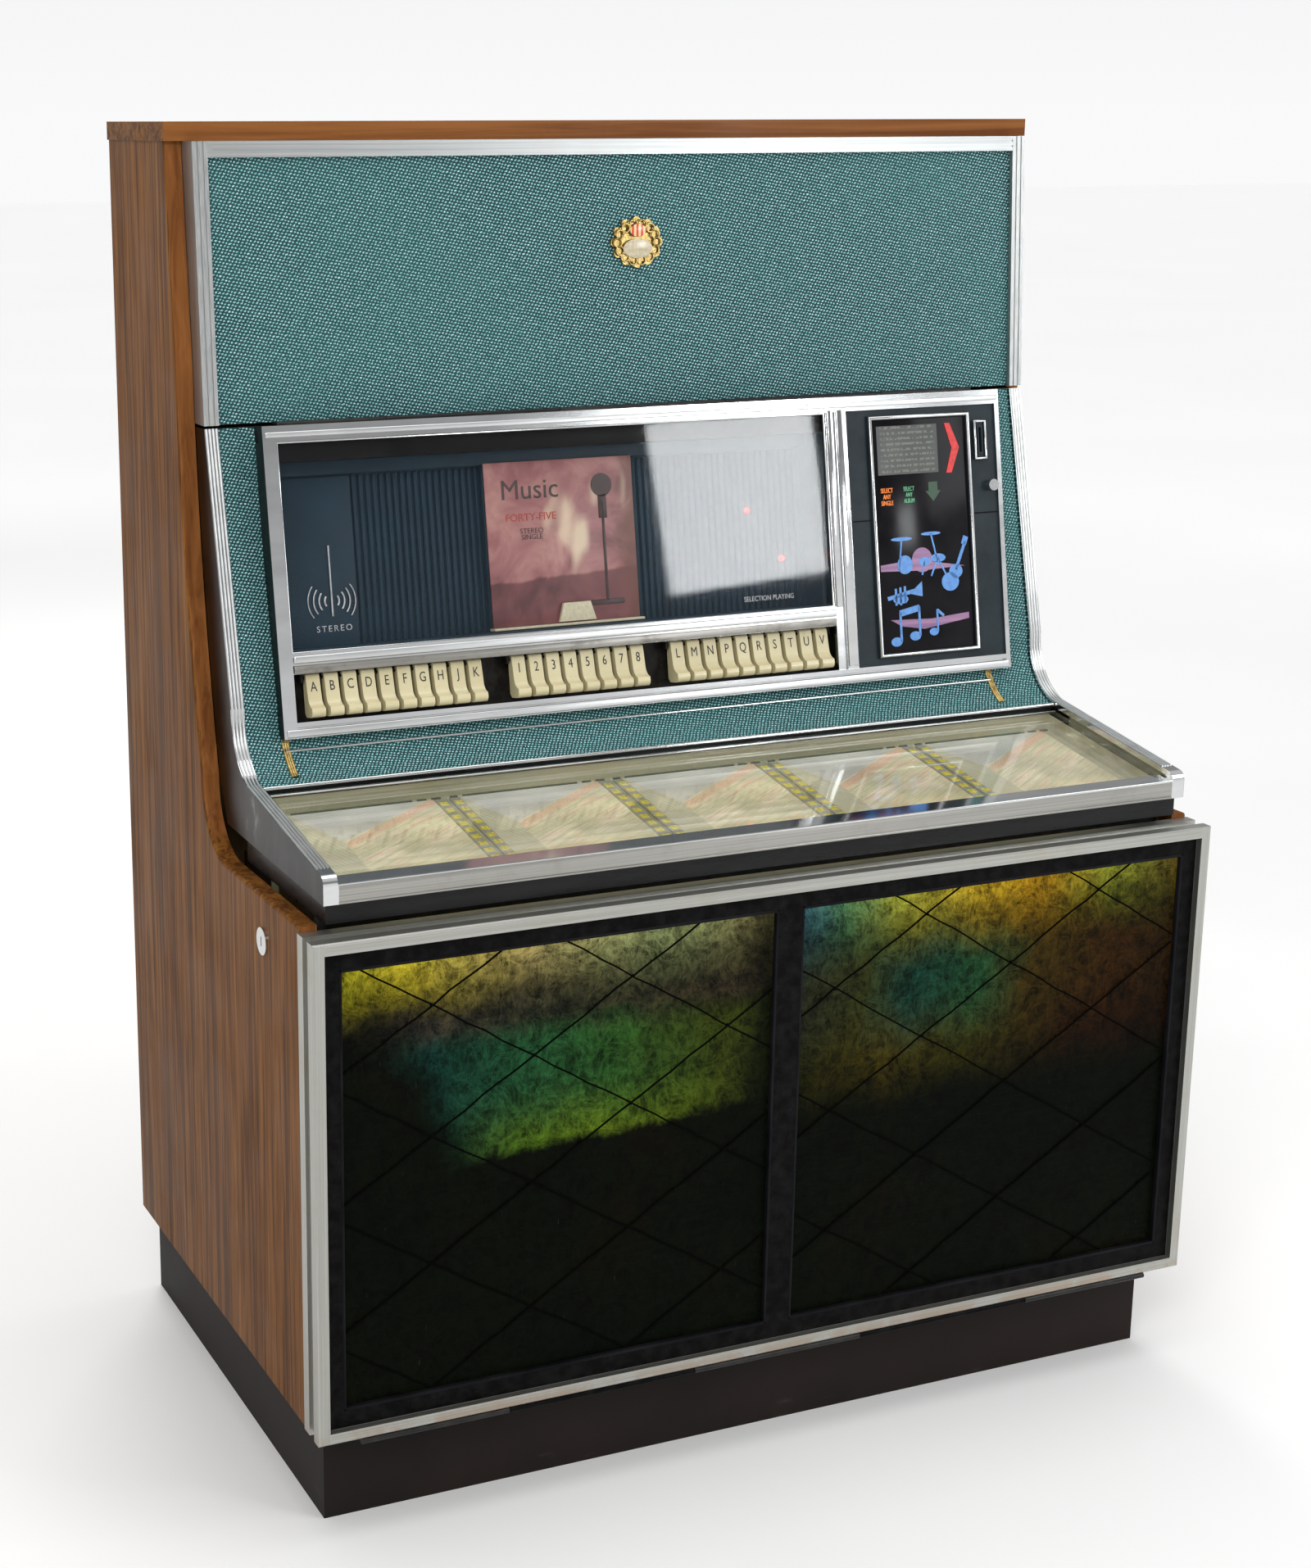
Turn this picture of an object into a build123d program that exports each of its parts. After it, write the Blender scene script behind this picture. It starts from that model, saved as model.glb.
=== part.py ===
from build123d import *
import os
from math import atan2, cos, degrees, radians, sin, tan

os.makedirs("parts", exist_ok=True)

# Console jukebox, in millimetres. X is the viewer's right, the front faces -Y, Z is up.
# The origin is the middle of the footprint on the floor. "Depth" is measured back from the door's face.

# Cabinet
WIDTH = 1030.0
DEPTH = 610.0
HEIGHT = 1360.0
BOARD = 18.0
SIDE_INSET = 2.0
SIDE_FACE = WIDTH / 2 - SIDE_INSET
SIDE_INNER = SIDE_FACE - BOARD
PLINTH_HEIGHT = 107.0
PLINTH_HALF = 494.0
PLINTH_SETBACK = 46.0
TOP_BOARD = 19.0
TOP_UNDER = HEIGHT - TOP_BOARD
TOP_SETBACK = 404.0
SHOULDER = 627.0
EDGE_ROUND = 4.0
BACK_BOARD = 8.0
BACK_INSET = 2.0
BACK_FACE = DEPTH - BACK_INSET
BACK_INNER = BACK_FACE - BACK_BOARD
FLOOR_TOP = PLINTH_HEIGHT + BOARD
VENT_ROWS = (260, 290, 320, 1180, 1210, 1240, 1270)
VENT_COLUMNS = (-330, -110, 110, 330)
VENT_HALF_LONG = 75
VENT_HALF_HIGH = 5
INLET_X = 360
INLET_Z = 180
INLET_HALF = (14, 11)
INLET_WALL = 3
INLET_DEEP = 20
INLET_WELL = 14
INLET_PIN_GAP = 6
INLET_PIN_HALF = (1, 3)
BACK_SCREW_RADIUS = 5
BACK_SCREW_INSET = 14
BACK_SCREW_HEIGHTS = (480, 760, 1040)
BACK_SCREW_MIDDLES = (-165, 165)

# Lower door
DOOR_DEPTH = 41.5
DOOR_TOP = 621.5
FACE_WIDTH = 12.0
FRONT_FLANGE = 14.0
GROOVE_END = 27.0
GROOVE_DROP = 4.0
REBATE_FRONT = 8.0
REBATE_BACK = 24.0
REBATE_WIDTH = 18.0
MULLION_HALF = 14.0
MITRE = 40.0
PANEL_FRONT = 14.0
PANEL_THICK = 4.0

# Piano hinges
PIN_RADIUS = 1.95
PIN_HOLE = 2.0
BARREL = 3.4
LEAF = 1.8
DOOR_PIN = (3.5, 103.5)
LID_PIN = (349.6, 1059.8)
HINGE_STEPS = (-470.0, -310.0, -100.0, 100.0, 310.0, 470.0)
LID_HINGE_STEPS = (-420.0, -300.0, -100.0, 100.0, 300.0, 420.0)
KNUCKLE_GAP = 1.0

# Speaker grille
GRILLE_BOTTOM = 1061.0
GRILLE_LOW_DEPTH = 356.0
GRILLE_TOP_DEPTH = 375.0
GRILLE_HALF = SIDE_INNER - 0.5
GRILLE_FACE = 16.0
GRILLE_RETURN = 46.0
TRIM_SKIN = 3.0
TRIM_FRONT = 6.0
BAFFLE_BACK_OFF = 8.0
BAFFLE_THICK = 18.0
WOOFER_X = 300.0
WOOFER_RADIUS = 118.0
TWEETER_X = 90.0
TWEETER_RADIUS = 42.0
SPEAKER_Z = 1196.0
BADGE_Z = 1233.0

# Lid: a sloping cloth panel that curves into the title deck
LID_HALF = SIDE_INNER - 0.5
LID_TOP = 1058.0
LID_TOP_DEPTH = 357.0
BEND_START = (291.0, 781.0)
BEND_MIDDLE = (274.0, 733.0)
DECK_BACK = (243.0, 712.0)
DECK_SLOPE = 9.0
NOSE_DEPTH = 25.0
NOSE_RADIUS = 9.0
SKIRT_TOP = 650.0
SKIRT_BOTTOM = 629.0
RAIL_WIDTH = 15.0
CHEEK = 5.0
CLOTH_INSET = 5.0
LID_SHEET = 10.0

# Deck glass and title tray, measured along the deck's slope from its nose
DECK_LENGTH = 216.0
GLASS_DROP = 10.0
GLASS_THICK = 4.0
TRAY_DROP = 34.0
TRAY_HALF = 474.0
PAGE_COUNT = 5
PAGE_GAP = 4.0

# Display face, measured from its middle: depth behind its front, height along its slope
FACE_TILT = 10.0
FACE_DEPTH = 300.0
FACE_Z = 900.0
FACE_HALF = 443.0
FACE_TOP = 164.0
FACE_BOTTOM = -154.0
FRAME_LEFT = 15.0
FRAME_RIGHT = 6.0
FRAME_TOP = 16.0
FRAME_LOW = 16.0
FRAME_DEEP = 24.0
FRAME_TOP_DEEP = 13.0
DIVIDER = (215.0, 241.0)
WINDOW_BOTTOM = -67.0
KEYS_TOP = -89.0
KEYS_BOTTOM = FACE_BOTTOM + FRAME_LOW
BACKDROP_DEEP = 62.0
SHEET = 2.0

# Selector keys
KEY_WIDTH = 15.0
KEY_PITCH = 20.2
KEY_GROUPS = (("abcdefghjk", -412.0), ("12345678", -180.0), ("lmnpqrstuv", 10.0))
KEY_PIVOT = (15.5, -94.0)
KEY_ROD = 1.5
KEY_HOLE = 1.55
KEY_BED_FRONT = 24.5

# Coin panel
COIN_FRONT = 3.0
COIN_THICK = 4.0
COIN_WINDOW = (268.0, 402.0, -130.0, 141.0)
SLOT_X = 415.0
SLOT_HEIGHTS = (88.0, 128.0)
SLOT_WIDTH = 3.4
BUTTON_X = 427.0
BUTTON_HEIGHT = 56.0
BUTTON_RADIUS = 6.5

# Record mechanism
RECORD_RADIUS = 87.5
RECORD_HOLE = 19.0
RECORD_THICK = 1.4
RECORD_COUNT = 48
RECORD_PITCH = 10.0
RECORD_DEPTH = 496.0
RECORD_Z = 742.0
RAIL_RADIUS = 6.0
RAIL_CLEARANCE = 0.08
RAIL_DEPTHS = (322.0, 382.0)
RAIL_Z = 585.0
RAIL_REACH = 440.0
CARRIAGE_HALF = 75.0
SPINDLE = (352.0, 708.0)
SPINDLE_RADIUS = 4.0
PLATTER_RADIUS = 42.0

# Side lock
LOCK_DEPTH = 147.0
LOCK_Z = 581.0
LOCK_RADIUS = 13.0
LOCK_CLEARANCE = 0.08


def at(depth):
    """Y of a point this far behind the door's face."""
    return depth - DEPTH / 2


def block(x0, x1, d0, d1, z0, z1):
    """A box between two X, two depths and two heights."""
    middle = Pos((x0 + x1) / 2, at((d0 + d1) / 2), (z0 + z1) / 2)
    return middle * Box(x1 - x0, d1 - d0, z1 - z0)


def slab(outline, x0, x1):
    """A closed outline in depth and height, run along X."""
    face = Plane.YZ.offset(x0) * make_face(outline)
    return extrude(face, amount=x1 - x0, dir=(1, 0, 0))


def ring_points(points):
    """Straight edges round a list of (depth, height) corners."""
    corners = [(at(depth), z) for depth, z in points]
    return Polyline(*corners, close=True)


def rod(x0, x1, depth, z, radius):
    """A round bar along X."""
    bar = Rot(0, 90, 0) * Cylinder(radius, x1 - x0)
    return Pos((x0 + x1) / 2, at(depth), z) * bar


def mirrored(solid):
    """The same piece on the other side of the middle."""
    return mirror(solid, about=Plane.YZ)


def save(name, *solids):
    """Writes one node as its separate solids."""
    pieces = [piece for solid in solids for piece in solid.solids()]
    export_step(Compound(label=name, children=pieces), f"parts/{name}.step")


FACE = Pos(0, at(FACE_DEPTH), FACE_Z) * Rot(-FACE_TILT, 0, 0)
DECK_NOSE_Z = DECK_BACK[1] - (DECK_BACK[0] - NOSE_DEPTH) * tan(radians(DECK_SLOPE))
DECK = Pos(0, at(NOSE_DEPTH), DECK_NOSE_Z) * Rot(DECK_SLOPE, 0, 0)


def placed(frame, x0, x1, d0, d1, h0, h1):
    """A box in the frame of the display face or of the deck."""
    middle = Pos((x0 + x1) / 2, (d0 + d1) / 2, (h0 + h1) / 2)
    return frame * middle * Box(x1 - x0, d1 - d0, h1 - h0)


def grille_depth(z):
    """Depth of the grille's sloping front at a height."""
    share = (z - GRILLE_BOTTOM) / (TOP_UNDER - GRILLE_BOTTOM)
    return GRILLE_LOW_DEPTH + share * (GRILLE_TOP_DEPTH - GRILLE_LOW_DEPTH)


def panel_depth(z, inset):
    """Depth of the lid's straight sloping front at a height, moved back by an inset."""
    share = (z - BEND_START[1]) / (LID_TOP - BEND_START[1])
    return BEND_START[0] + share * (LID_TOP_DEPTH - BEND_START[0]) + inset


# ---- Wooden cabinet ----

def side_panel():
    """Right side board: a straight back and a front edge that sweeps down to the shoulder."""
    low = (at(DOOR_DEPTH + 0.5), PLINTH_HEIGHT)
    shoulder = (at(DOOR_DEPTH + 0.5), SHOULDER)
    neck = (at(270), SHOULDER)
    hip = (at(332), 704)
    waist = (at(389), 1118)
    crown = (at(410), TOP_UNDER)
    edges = [
        Line(low, shoulder),
        Line(shoulder, neck),
        ThreePointArc(neck, (at(317), 654), hip),
        ThreePointArc(hip, (at(371), 912), waist),
        Line(waist, crown),
        Line(crown, (at(DEPTH), TOP_UNDER)),
        Line((at(DEPTH), TOP_UNDER), (at(DEPTH), PLINTH_HEIGHT)),
        Line((at(DEPTH), PLINTH_HEIGHT), low),
    ]
    board = slab(edges, SIDE_INNER, SIDE_FACE)
    swept = board.edges().filter_by(lambda edge: SHOULDER - 1 < edge.center().Z < TOP_UNDER - 1)
    swept = swept.filter_by(lambda edge: edge.center().Y < at(DEPTH) - 1)
    outer = swept.filter_by(lambda edge: edge.center().X > SIDE_FACE - 1)
    return fillet(outer, EDGE_ROUND)


def lock_bore(radius):
    """The lock's round hole through the left side board."""
    return rod(-SIDE_FACE - 5, -SIDE_INNER + 5, LOCK_DEPTH, LOCK_Z, radius)


def lock_plug():
    """Cylinder lock with a raised rim, a keyway and a cam on its inner end."""
    body = rod(-SIDE_FACE, -SIDE_INNER + 12, LOCK_DEPTH, LOCK_Z, LOCK_RADIUS - LOCK_CLEARANCE)
    rim = rod(-WIDTH / 2, -SIDE_FACE, LOCK_DEPTH, LOCK_Z, LOCK_RADIUS + 1)
    keyway = block(-WIDTH / 2 - 1, -WIDTH / 2 + 6, LOCK_DEPTH - 1, LOCK_DEPTH + 1, LOCK_Z - 5, LOCK_Z + 5)
    cam_end = -SIDE_INNER + 15
    cam = block(cam_end - 3, cam_end, LOCK_DEPTH - 8, LOCK_DEPTH + 8, LOCK_Z - 9, LOCK_Z + 30)
    return body + rim + cam - keyway


def inlet_block(wall, d0, d1):
    """A block round the mains inlet's centre, smaller than the socket by a wall all round."""
    wide, high = INLET_HALF[0] - wall, INLET_HALF[1] - wall
    return block(INLET_X - wide, INLET_X + wide, d0, d1, INLET_Z - high, INLET_Z + high)


def back_panel():
    """Hardboard back with rows of vents, a mains inlet plate and screws round its edge."""
    panel = block(-SIDE_INNER, SIDE_INNER, BACK_INNER, BACK_FACE, FLOOR_TOP, TOP_UNDER)
    through = (BACK_INNER - 1, BACK_FACE + 1)
    for z in VENT_ROWS:
        for x in VENT_COLUMNS:
            panel -= block(
                x - VENT_HALF_LONG, x + VENT_HALF_LONG, *through, z - VENT_HALF_HIGH, z + VENT_HALF_HIGH
            )
    panel -= inlet_block(0, *through)
    socket = inlet_block(0, BACK_INNER - INLET_DEEP, BACK_FACE)
    socket -= inlet_block(INLET_WALL, BACK_INNER - INLET_WELL, BACK_FACE + 1)
    pins = []
    for x in (INLET_X - INLET_PIN_GAP, INLET_X, INLET_X + INLET_PIN_GAP):
        wide, high = INLET_PIN_HALF
        pins.append(
            block(x - wide, x + wide, BACK_INNER - INLET_WELL, BACK_FACE - 3, INLET_Z - high, INLET_Z + high)
        )
    screws = []
    edge = SIDE_INNER - BACK_SCREW_INSET
    for x in (-edge, *BACK_SCREW_MIDDLES, edge):
        for z in (FLOOR_TOP + BACK_SCREW_INSET, *BACK_SCREW_HEIGHTS, TOP_UNDER - BACK_SCREW_INSET):
            head = Rot(90, 0, 0) * Cylinder(BACK_SCREW_RADIUS, BACK_INSET)
            screws.append(Pos(x, at(BACK_FACE + BACK_INSET / 2), z) * head)
    return [panel, socket, *pins, *screws]


def plinth():
    """Four boards standing on edge, set back under the cabinet."""
    front = block(-PLINTH_HALF, PLINTH_HALF, PLINTH_SETBACK, PLINTH_SETBACK + BOARD, 0, PLINTH_HEIGHT)
    back = block(-PLINTH_HALF, PLINTH_HALF, DEPTH - BOARD, DEPTH, 0, PLINTH_HEIGHT)
    side = block(PLINTH_HALF - BOARD, PLINTH_HALF, PLINTH_SETBACK + BOARD, DEPTH - BOARD, 0, PLINTH_HEIGHT)
    return [front, back, side, mirrored(side)]


right_side = side_panel()
left_side = mirrored(right_side) - lock_bore(LOCK_RADIUS)
save("right_side_panel", right_side)
save("left_side_panel", left_side)
save("lock_plug", lock_plug())
save("top_board", block(-WIDTH / 2, WIDTH / 2, TOP_SETBACK, DEPTH, TOP_UNDER, HEIGHT))
save("back_panel", *back_panel())
save("plinth", *plinth())
save("floor_board", block(-SIDE_INNER, SIDE_INNER, DOOR_DEPTH + 3, BACK_FACE, PLINTH_HEIGHT, FLOOR_TOP))


# ---- Speaker grille ----

def grille_strip(z0, z1, start, end, x0, x1):
    """A strip parallel to the sloping grille front, between two distances behind it."""
    corners = [
        (grille_depth(z0) + start, z0),
        (grille_depth(z1) + start, z1),
        (grille_depth(z1) + end, z1),
        (grille_depth(z0) + end, z0),
    ]
    return slab(ring_points(corners), x0, x1)


def grille_side():
    """Ribbed upright with a deep return that stands in front of the wood's edge."""
    inner = GRILLE_HALF - GRILLE_FACE
    upright = grille_strip(GRILLE_BOTTOM, TOP_UNDER, 1, TRIM_FRONT, inner, GRILLE_HALF)
    upright += grille_strip(GRILLE_BOTTOM, TOP_UNDER, 1, GRILLE_RETURN, GRILLE_HALF - TRIM_SKIN, GRILLE_HALF)
    for rib in (0, 6, 12):
        upright += grille_strip(GRILLE_BOTTOM, TOP_UNDER, 0, 1, inner + rib, inner + rib + 4)
    return upright


def grille_head():
    """Ribbed top rail between the two uprights."""
    inner = GRILLE_HALF - GRILLE_FACE
    low = TOP_UNDER - GRILLE_FACE
    head = grille_strip(low, TOP_UNDER, 1, TRIM_FRONT, -inner, inner)
    head += grille_strip(TOP_UNDER - TRIM_SKIN, TOP_UNDER, 1, GRILLE_RETURN, -inner, inner)
    for rib in (0, 6, 12):
        head += grille_strip(low + rib, low + rib + 4, 0, 1, -inner, inner)
    return head


def speaker_places():
    """X and hole radius of each loudspeaker."""
    return [
        (-WOOFER_X, WOOFER_RADIUS),
        (-TWEETER_X, TWEETER_RADIUS),
        (TWEETER_X, TWEETER_RADIUS),
        (WOOFER_X, WOOFER_RADIUS),
    ]


GRILLE_TILT = degrees(atan2(GRILLE_TOP_DEPTH - GRILLE_LOW_DEPTH, TOP_UNDER - GRILLE_BOTTOM))


def on_baffle(x, back):
    """A place on the baffle at speaker height, its own Z pointing forwards out of the grille."""
    depth = grille_depth(SPEAKER_Z) + back
    return Pos(x, at(depth), SPEAKER_Z) * Rot(90 - GRILLE_TILT, 0, 0)


def speaker_baffle():
    """Board behind the grille cloth with one hole for each loudspeaker."""
    half = GRILLE_HALF - TRIM_SKIN - 0.5
    low = LID_PIN[1] + LEAF / 2
    high = TOP_UNDER - TRIM_SKIN - 0.5
    board = grille_strip(low, high, BAFFLE_BACK_OFF, BAFFLE_BACK_OFF + BAFFLE_THICK, -half, half)
    for x, radius in speaker_places():
        board -= on_baffle(x, BAFFLE_BACK_OFF + BAFFLE_THICK / 2) * Cylinder(radius, BAFFLE_THICK * 2)
    return board


def loudspeaker(x, radius):
    """Cone and surround in front of a basket and magnet, turned about the speaker's axis."""
    rim = radius + 8
    deep = radius * 0.62
    section = Polyline(
        (0, -deep * 0.45),
        (radius * 0.3, -deep * 0.5),
        (radius * 0.85, -3),
        (radius, -1),
        (rim, -1),
        (rim, -5),
        (radius * 0.6, -deep * 0.8),
        (radius * 0.55, -deep),
        (0, -deep),
        close=True,
    )
    cone = revolve(Plane.XZ * make_face(section), Axis.Z)
    return on_baffle(x, BAFFLE_BACK_OFF + BAFFLE_THICK) * cone


def badge():
    """Scalloped oval plaque in the middle of the grille cloth."""
    plaque = extrude(Ellipse(25, 21), amount=3)
    for index in range(12):
        turn = radians(index * 30)
        bead = Pos(26 * cos(turn), 22 * sin(turn), 1.5) * Cylinder(5, 3)
        plaque += bead
    depth = grille_depth(BADGE_Z)
    return Pos(0, at(depth + BAFFLE_BACK_OFF - 2), BADGE_Z) * Rot(90 - GRILLE_TILT, 0, 0) * plaque


save("grille_trim", grille_side(), mirrored(grille_side()), grille_head())
save("speaker_baffle", speaker_baffle())
save("speakers", *[loudspeaker(x, radius) for x, radius in speaker_places()])
save("grille_badge", badge())


# ---- Hinges ----

def hinge_barrels(steps, fixed):
    """Ends of every other knuckle of a piano hinge."""
    barrels = []
    for index in range(len(steps) - 1):
        if (index % 2 == 0) == fixed:
            barrels.append((steps[index], steps[index + 1] - KNUCKLE_GAP))
    return barrels


def fixed_leaf(steps, pin, far_depth):
    """The leaf that stays with the cabinet, with its knuckles."""
    low, high = pin[1] - LEAF / 2, pin[1] + LEAF / 2
    leaf = block(steps[0], steps[-1] - KNUCKLE_GAP, pin[0] + BARREL + 0.4, far_depth, low, high)
    for x0, x1 in hinge_barrels(steps, True):
        leaf += rod(x0, x1, pin[0], pin[1], BARREL)
        leaf += block(x0, x1, pin[0], pin[0] + BARREL + 1, low, high)
    return leaf - rod(steps[0] - 1, steps[-1] + 1, pin[0], pin[1], PIN_HOLE)


def moving_knuckles(steps, pin, far_depth, z0, z1):
    """Knuckles with the lugs that fix them to the moving piece."""
    pieces = []
    for x0, x1 in hinge_barrels(steps, False):
        knuckle = rod(x0, x1, pin[0], pin[1], BARREL)
        knuckle += block(x0, x1, pin[0] - BARREL / 2, far_depth, z0, z1)
        pieces.append(knuckle - rod(x0 - 1, x1 + 1, pin[0], pin[1], PIN_HOLE))
    return pieces


door_leaf = fixed_leaf(HINGE_STEPS, DOOR_PIN, PLINTH_SETBACK)
door_pin = rod(HINGE_STEPS[0], HINGE_STEPS[-1], *DOOR_PIN, PIN_RADIUS)
lid_leaf = fixed_leaf(LID_HINGE_STEPS, LID_PIN, grille_depth(GRILLE_BOTTOM) + BAFFLE_BACK_OFF + BAFFLE_THICK)
lid_pin = rod(LID_HINGE_STEPS[0], LID_HINGE_STEPS[-1], *LID_PIN, PIN_RADIUS)
save("hinges", door_leaf, door_pin, lid_leaf, lid_pin)


# ---- Lower door ----

def door_rail(length, reach):
    """One aluminium rail along the door's foot: flange, groove, flange and mitred ends."""
    section = Polyline(
        (1.5, 0),
        (FRONT_FLANGE, 0),
        (FRONT_FLANGE, GROOVE_DROP),
        (GROOVE_END, GROOVE_DROP),
        (GROOVE_END, 0),
        (DOOR_DEPTH, 0),
        (DOOR_DEPTH, FACE_WIDTH),
        (0, FACE_WIDTH),
        (0, 1.5),
        close=True,
    )
    bar = extrude(Plane.YZ.offset(-length / 2) * make_face(section), amount=length, dir=(1, 0, 0))
    end = length / 2
    wedge = Polyline((-end, 0), (end, 0), (end - MITRE, MITRE), (MITRE - end, MITRE), close=True)
    keep = extrude(Plane.XZ * make_face(wedge), amount=DOOR_DEPTH, dir=(0, 1, 0))
    return Pos(0, 0, -reach) * (bar & keep)


def door_rails():
    """Four rails mitred at the corners."""
    tall = DOOR_TOP - PLINTH_HEIGHT
    middle = Pos(0, at(0), (PLINTH_HEIGHT + DOOR_TOP) / 2)
    foot = middle * door_rail(WIDTH, tall / 2)
    stile = middle * Rot(0, 90, 0) * door_rail(tall, WIDTH / 2)
    head = middle * Rot(0, 180, 0) * door_rail(WIDTH, tall / 2)
    other = middle * Rot(0, 270, 0) * door_rail(tall, WIDTH / 2)
    return [foot, stile, head, other]


def door_rebate():
    """Black wooden frame inside the rails, with a middle bar between the two panels."""
    half = WIDTH / 2 - FACE_WIDTH
    low = PLINTH_HEIGHT + FACE_WIDTH
    high = DOOR_TOP - FACE_WIDTH
    wide = REBATE_WIDTH
    front = REBATE_FRONT
    back = REBATE_BACK
    foot = block(-half, half, front, back, low, low + wide)
    head = block(-half, half, front, back, high - wide, high)
    side = block(half - wide, half, front, back, low + wide, high - wide)
    bar = block(-MULLION_HALF, MULLION_HALF, front, back, low + wide, high - wide)
    return [foot, head, side, mirrored(side), bar]


def door_panel():
    """Right translucent panel, held between the black frame's bars."""
    low = PLINTH_HEIGHT + FACE_WIDTH + REBATE_WIDTH
    high = DOOR_TOP - FACE_WIDTH - REBATE_WIDTH
    edge = WIDTH / 2 - FACE_WIDTH - REBATE_WIDTH
    return block(MULLION_HALF, edge, PANEL_FRONT, PANEL_FRONT + PANEL_THICK, low, high)


door_knuckles = moving_knuckles(HINGE_STEPS, DOOR_PIN, DOOR_PIN[0] + BARREL / 2, DOOR_PIN[1], PLINTH_HEIGHT)
save("door_frame", *door_rails(), *door_rebate(), *door_knuckles)
save("door_panels", door_panel(), mirrored(door_panel()))


# ---- Lid ----

def lid_front_edges(inset):
    """Front line of the lid from its top to the deck, moved back by an inset."""
    top = (at(panel_depth(LID_TOP, inset)), LID_TOP)
    start = (at(BEND_START[0] + inset), BEND_START[1])
    middle = (at(BEND_MIDDLE[0] + inset * 0.8), BEND_MIDDLE[1] - inset * 0.5)
    foot = (at(DECK_BACK[0]), DECK_BACK[1] - inset)
    return [Line(top, start), ThreePointArc(start, middle, foot)]


def lid_sheet():
    """Board under the cloth: sloping, then curving forwards to the back of the deck."""
    outer = lid_front_edges(CLOTH_INSET)
    inner = lid_front_edges(CLOTH_INSET + LID_SHEET)
    joins = [Line(outer[0] @ 0, inner[0] @ 0), Line(outer[1] @ 1, inner[1] @ 1)]
    half = LID_HALF - RAIL_WIDTH
    sheet = slab([*outer, *inner, *joins], -half, half)
    sheet -= placed(FACE, -FACE_HALF, FACE_HALF, -30, FRAME_DEEP, FACE_BOTTOM, FACE_TOP + 20)
    left = -FACE_HALF + FRAME_LEFT
    right = FACE_HALF - FRAME_RIGHT
    return sheet - placed(FACE, left, right, -30, BACKDROP_DEEP + 20, KEYS_BOTTOM, FACE_TOP - FRAME_TOP)


def lid_skirt():
    """Black boards round the underside of the deck."""
    half = LID_HALF - CHEEK
    front = block(-half, half, NOSE_DEPTH + 8, NOSE_DEPTH + 20, SKIRT_BOTTOM, SKIRT_TOP)
    side = block(half - 12, half, NOSE_DEPTH + 20, 260, SKIRT_BOTTOM, SKIRT_TOP)
    return front + side + mirrored(side)


def cheek_outline(inset):
    """Side outline of the lid: sloping front, bend, deck, rounded nose and a flat lower edge."""
    slope = radians(DECK_SLOPE)
    nose_z = DECK_NOSE_Z - inset
    nose_depth = NOSE_DEPTH + inset
    top = (at(panel_depth(LID_TOP, inset)), LID_TOP)
    start = (at(BEND_START[0] + inset), BEND_START[1])
    middle = (at(BEND_MIDDLE[0] + inset * 0.8), BEND_MIDDLE[1] - inset * 0.5)
    foot = (at(DECK_BACK[0]), DECK_BACK[1] - inset)
    crest = (at(nose_depth + NOSE_RADIUS), nose_z + (NOSE_RADIUS + inset) * tan(slope))
    turn = (at(nose_depth + NOSE_RADIUS * 0.29), nose_z - NOSE_RADIUS * 0.2)
    nose = (at(nose_depth), nose_z - NOSE_RADIUS)
    chin = (at(nose_depth), SKIRT_TOP)
    heel = (at(308), SKIRT_TOP + 6)
    back = (at(346), 735)
    hip = (at(374), 880)
    crown = (at(398), LID_TOP)
    return [
        Line(top, start),
        ThreePointArc(start, middle, foot),
        Line(foot, crest),
        ThreePointArc(crest, turn, nose),
        Line(nose, chin),
        Line(chin, heel),
        Line(heel, back),
        Line(back, hip),
        Line(hip, crown),
        Line(crown, top),
    ]


def lid_cheek():
    """Right metal side plate of the lid with its raised moulding along the front and the deck."""
    plate = slab(cheek_outline(0), LID_HALF - CHEEK, LID_HALF)
    rail = slab(cheek_outline(0), LID_HALF - RAIL_WIDTH, LID_HALF - CHEEK)
    rail -= slab(cheek_outline(TRIM_FRONT), LID_HALF - RAIL_WIDTH - 1, LID_HALF - CHEEK + 1)
    return plate + rail.solids().sort_by(SortBy.VOLUME)[-1]


def deck_nose():
    """Metal strip over the front edge of the glass, folded down over the skirt."""
    half = LID_HALF - RAIL_WIDTH
    strip = placed(DECK, -half, half, 0.5, 18, -GLASS_DROP, 2 - GLASS_DROP)
    lip = block(-half, half, NOSE_DEPTH, NOSE_DEPTH + 2, SKIRT_TOP, DECK_NOSE_Z - GLASS_DROP + 1.5)
    return strip + lip


def deck_glass():
    """Sheet of glass over the title tray."""
    half = LID_HALF - RAIL_WIDTH
    return placed(DECK, -half, half, 3, DECK_LENGTH, -GLASS_DROP - GLASS_THICK, -GLASS_DROP)


def title_tray():
    """Shallow white tray under the glass, open at the top, with its page boards."""
    low = -TRAY_DROP
    high = -GLASS_DROP - GLASS_THICK
    tray = placed(DECK, -TRAY_HALF, TRAY_HALF, 6, DECK_LENGTH, low, high)
    tray -= placed(DECK, -TRAY_HALF + SHEET, TRAY_HALF - SHEET, 8, DECK_LENGTH - SHEET, low + SHEET, high + 1)
    tray -= block(-WIDTH / 2, WIDTH / 2, 0, NOSE_DEPTH + 21, 0, SKIRT_TOP + 0.5)
    pages = []
    span = (2 * TRAY_HALF - 2 * SHEET) / PAGE_COUNT
    for index in range(PAGE_COUNT):
        x0 = SHEET - TRAY_HALF + index * span + PAGE_GAP / 2
        x1 = x0 + span - PAGE_GAP
        pages.append(placed(DECK, x0, x1, 40, DECK_LENGTH - 8, low + SHEET, low + 2 * SHEET))
    return [tray, *pages]


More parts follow.
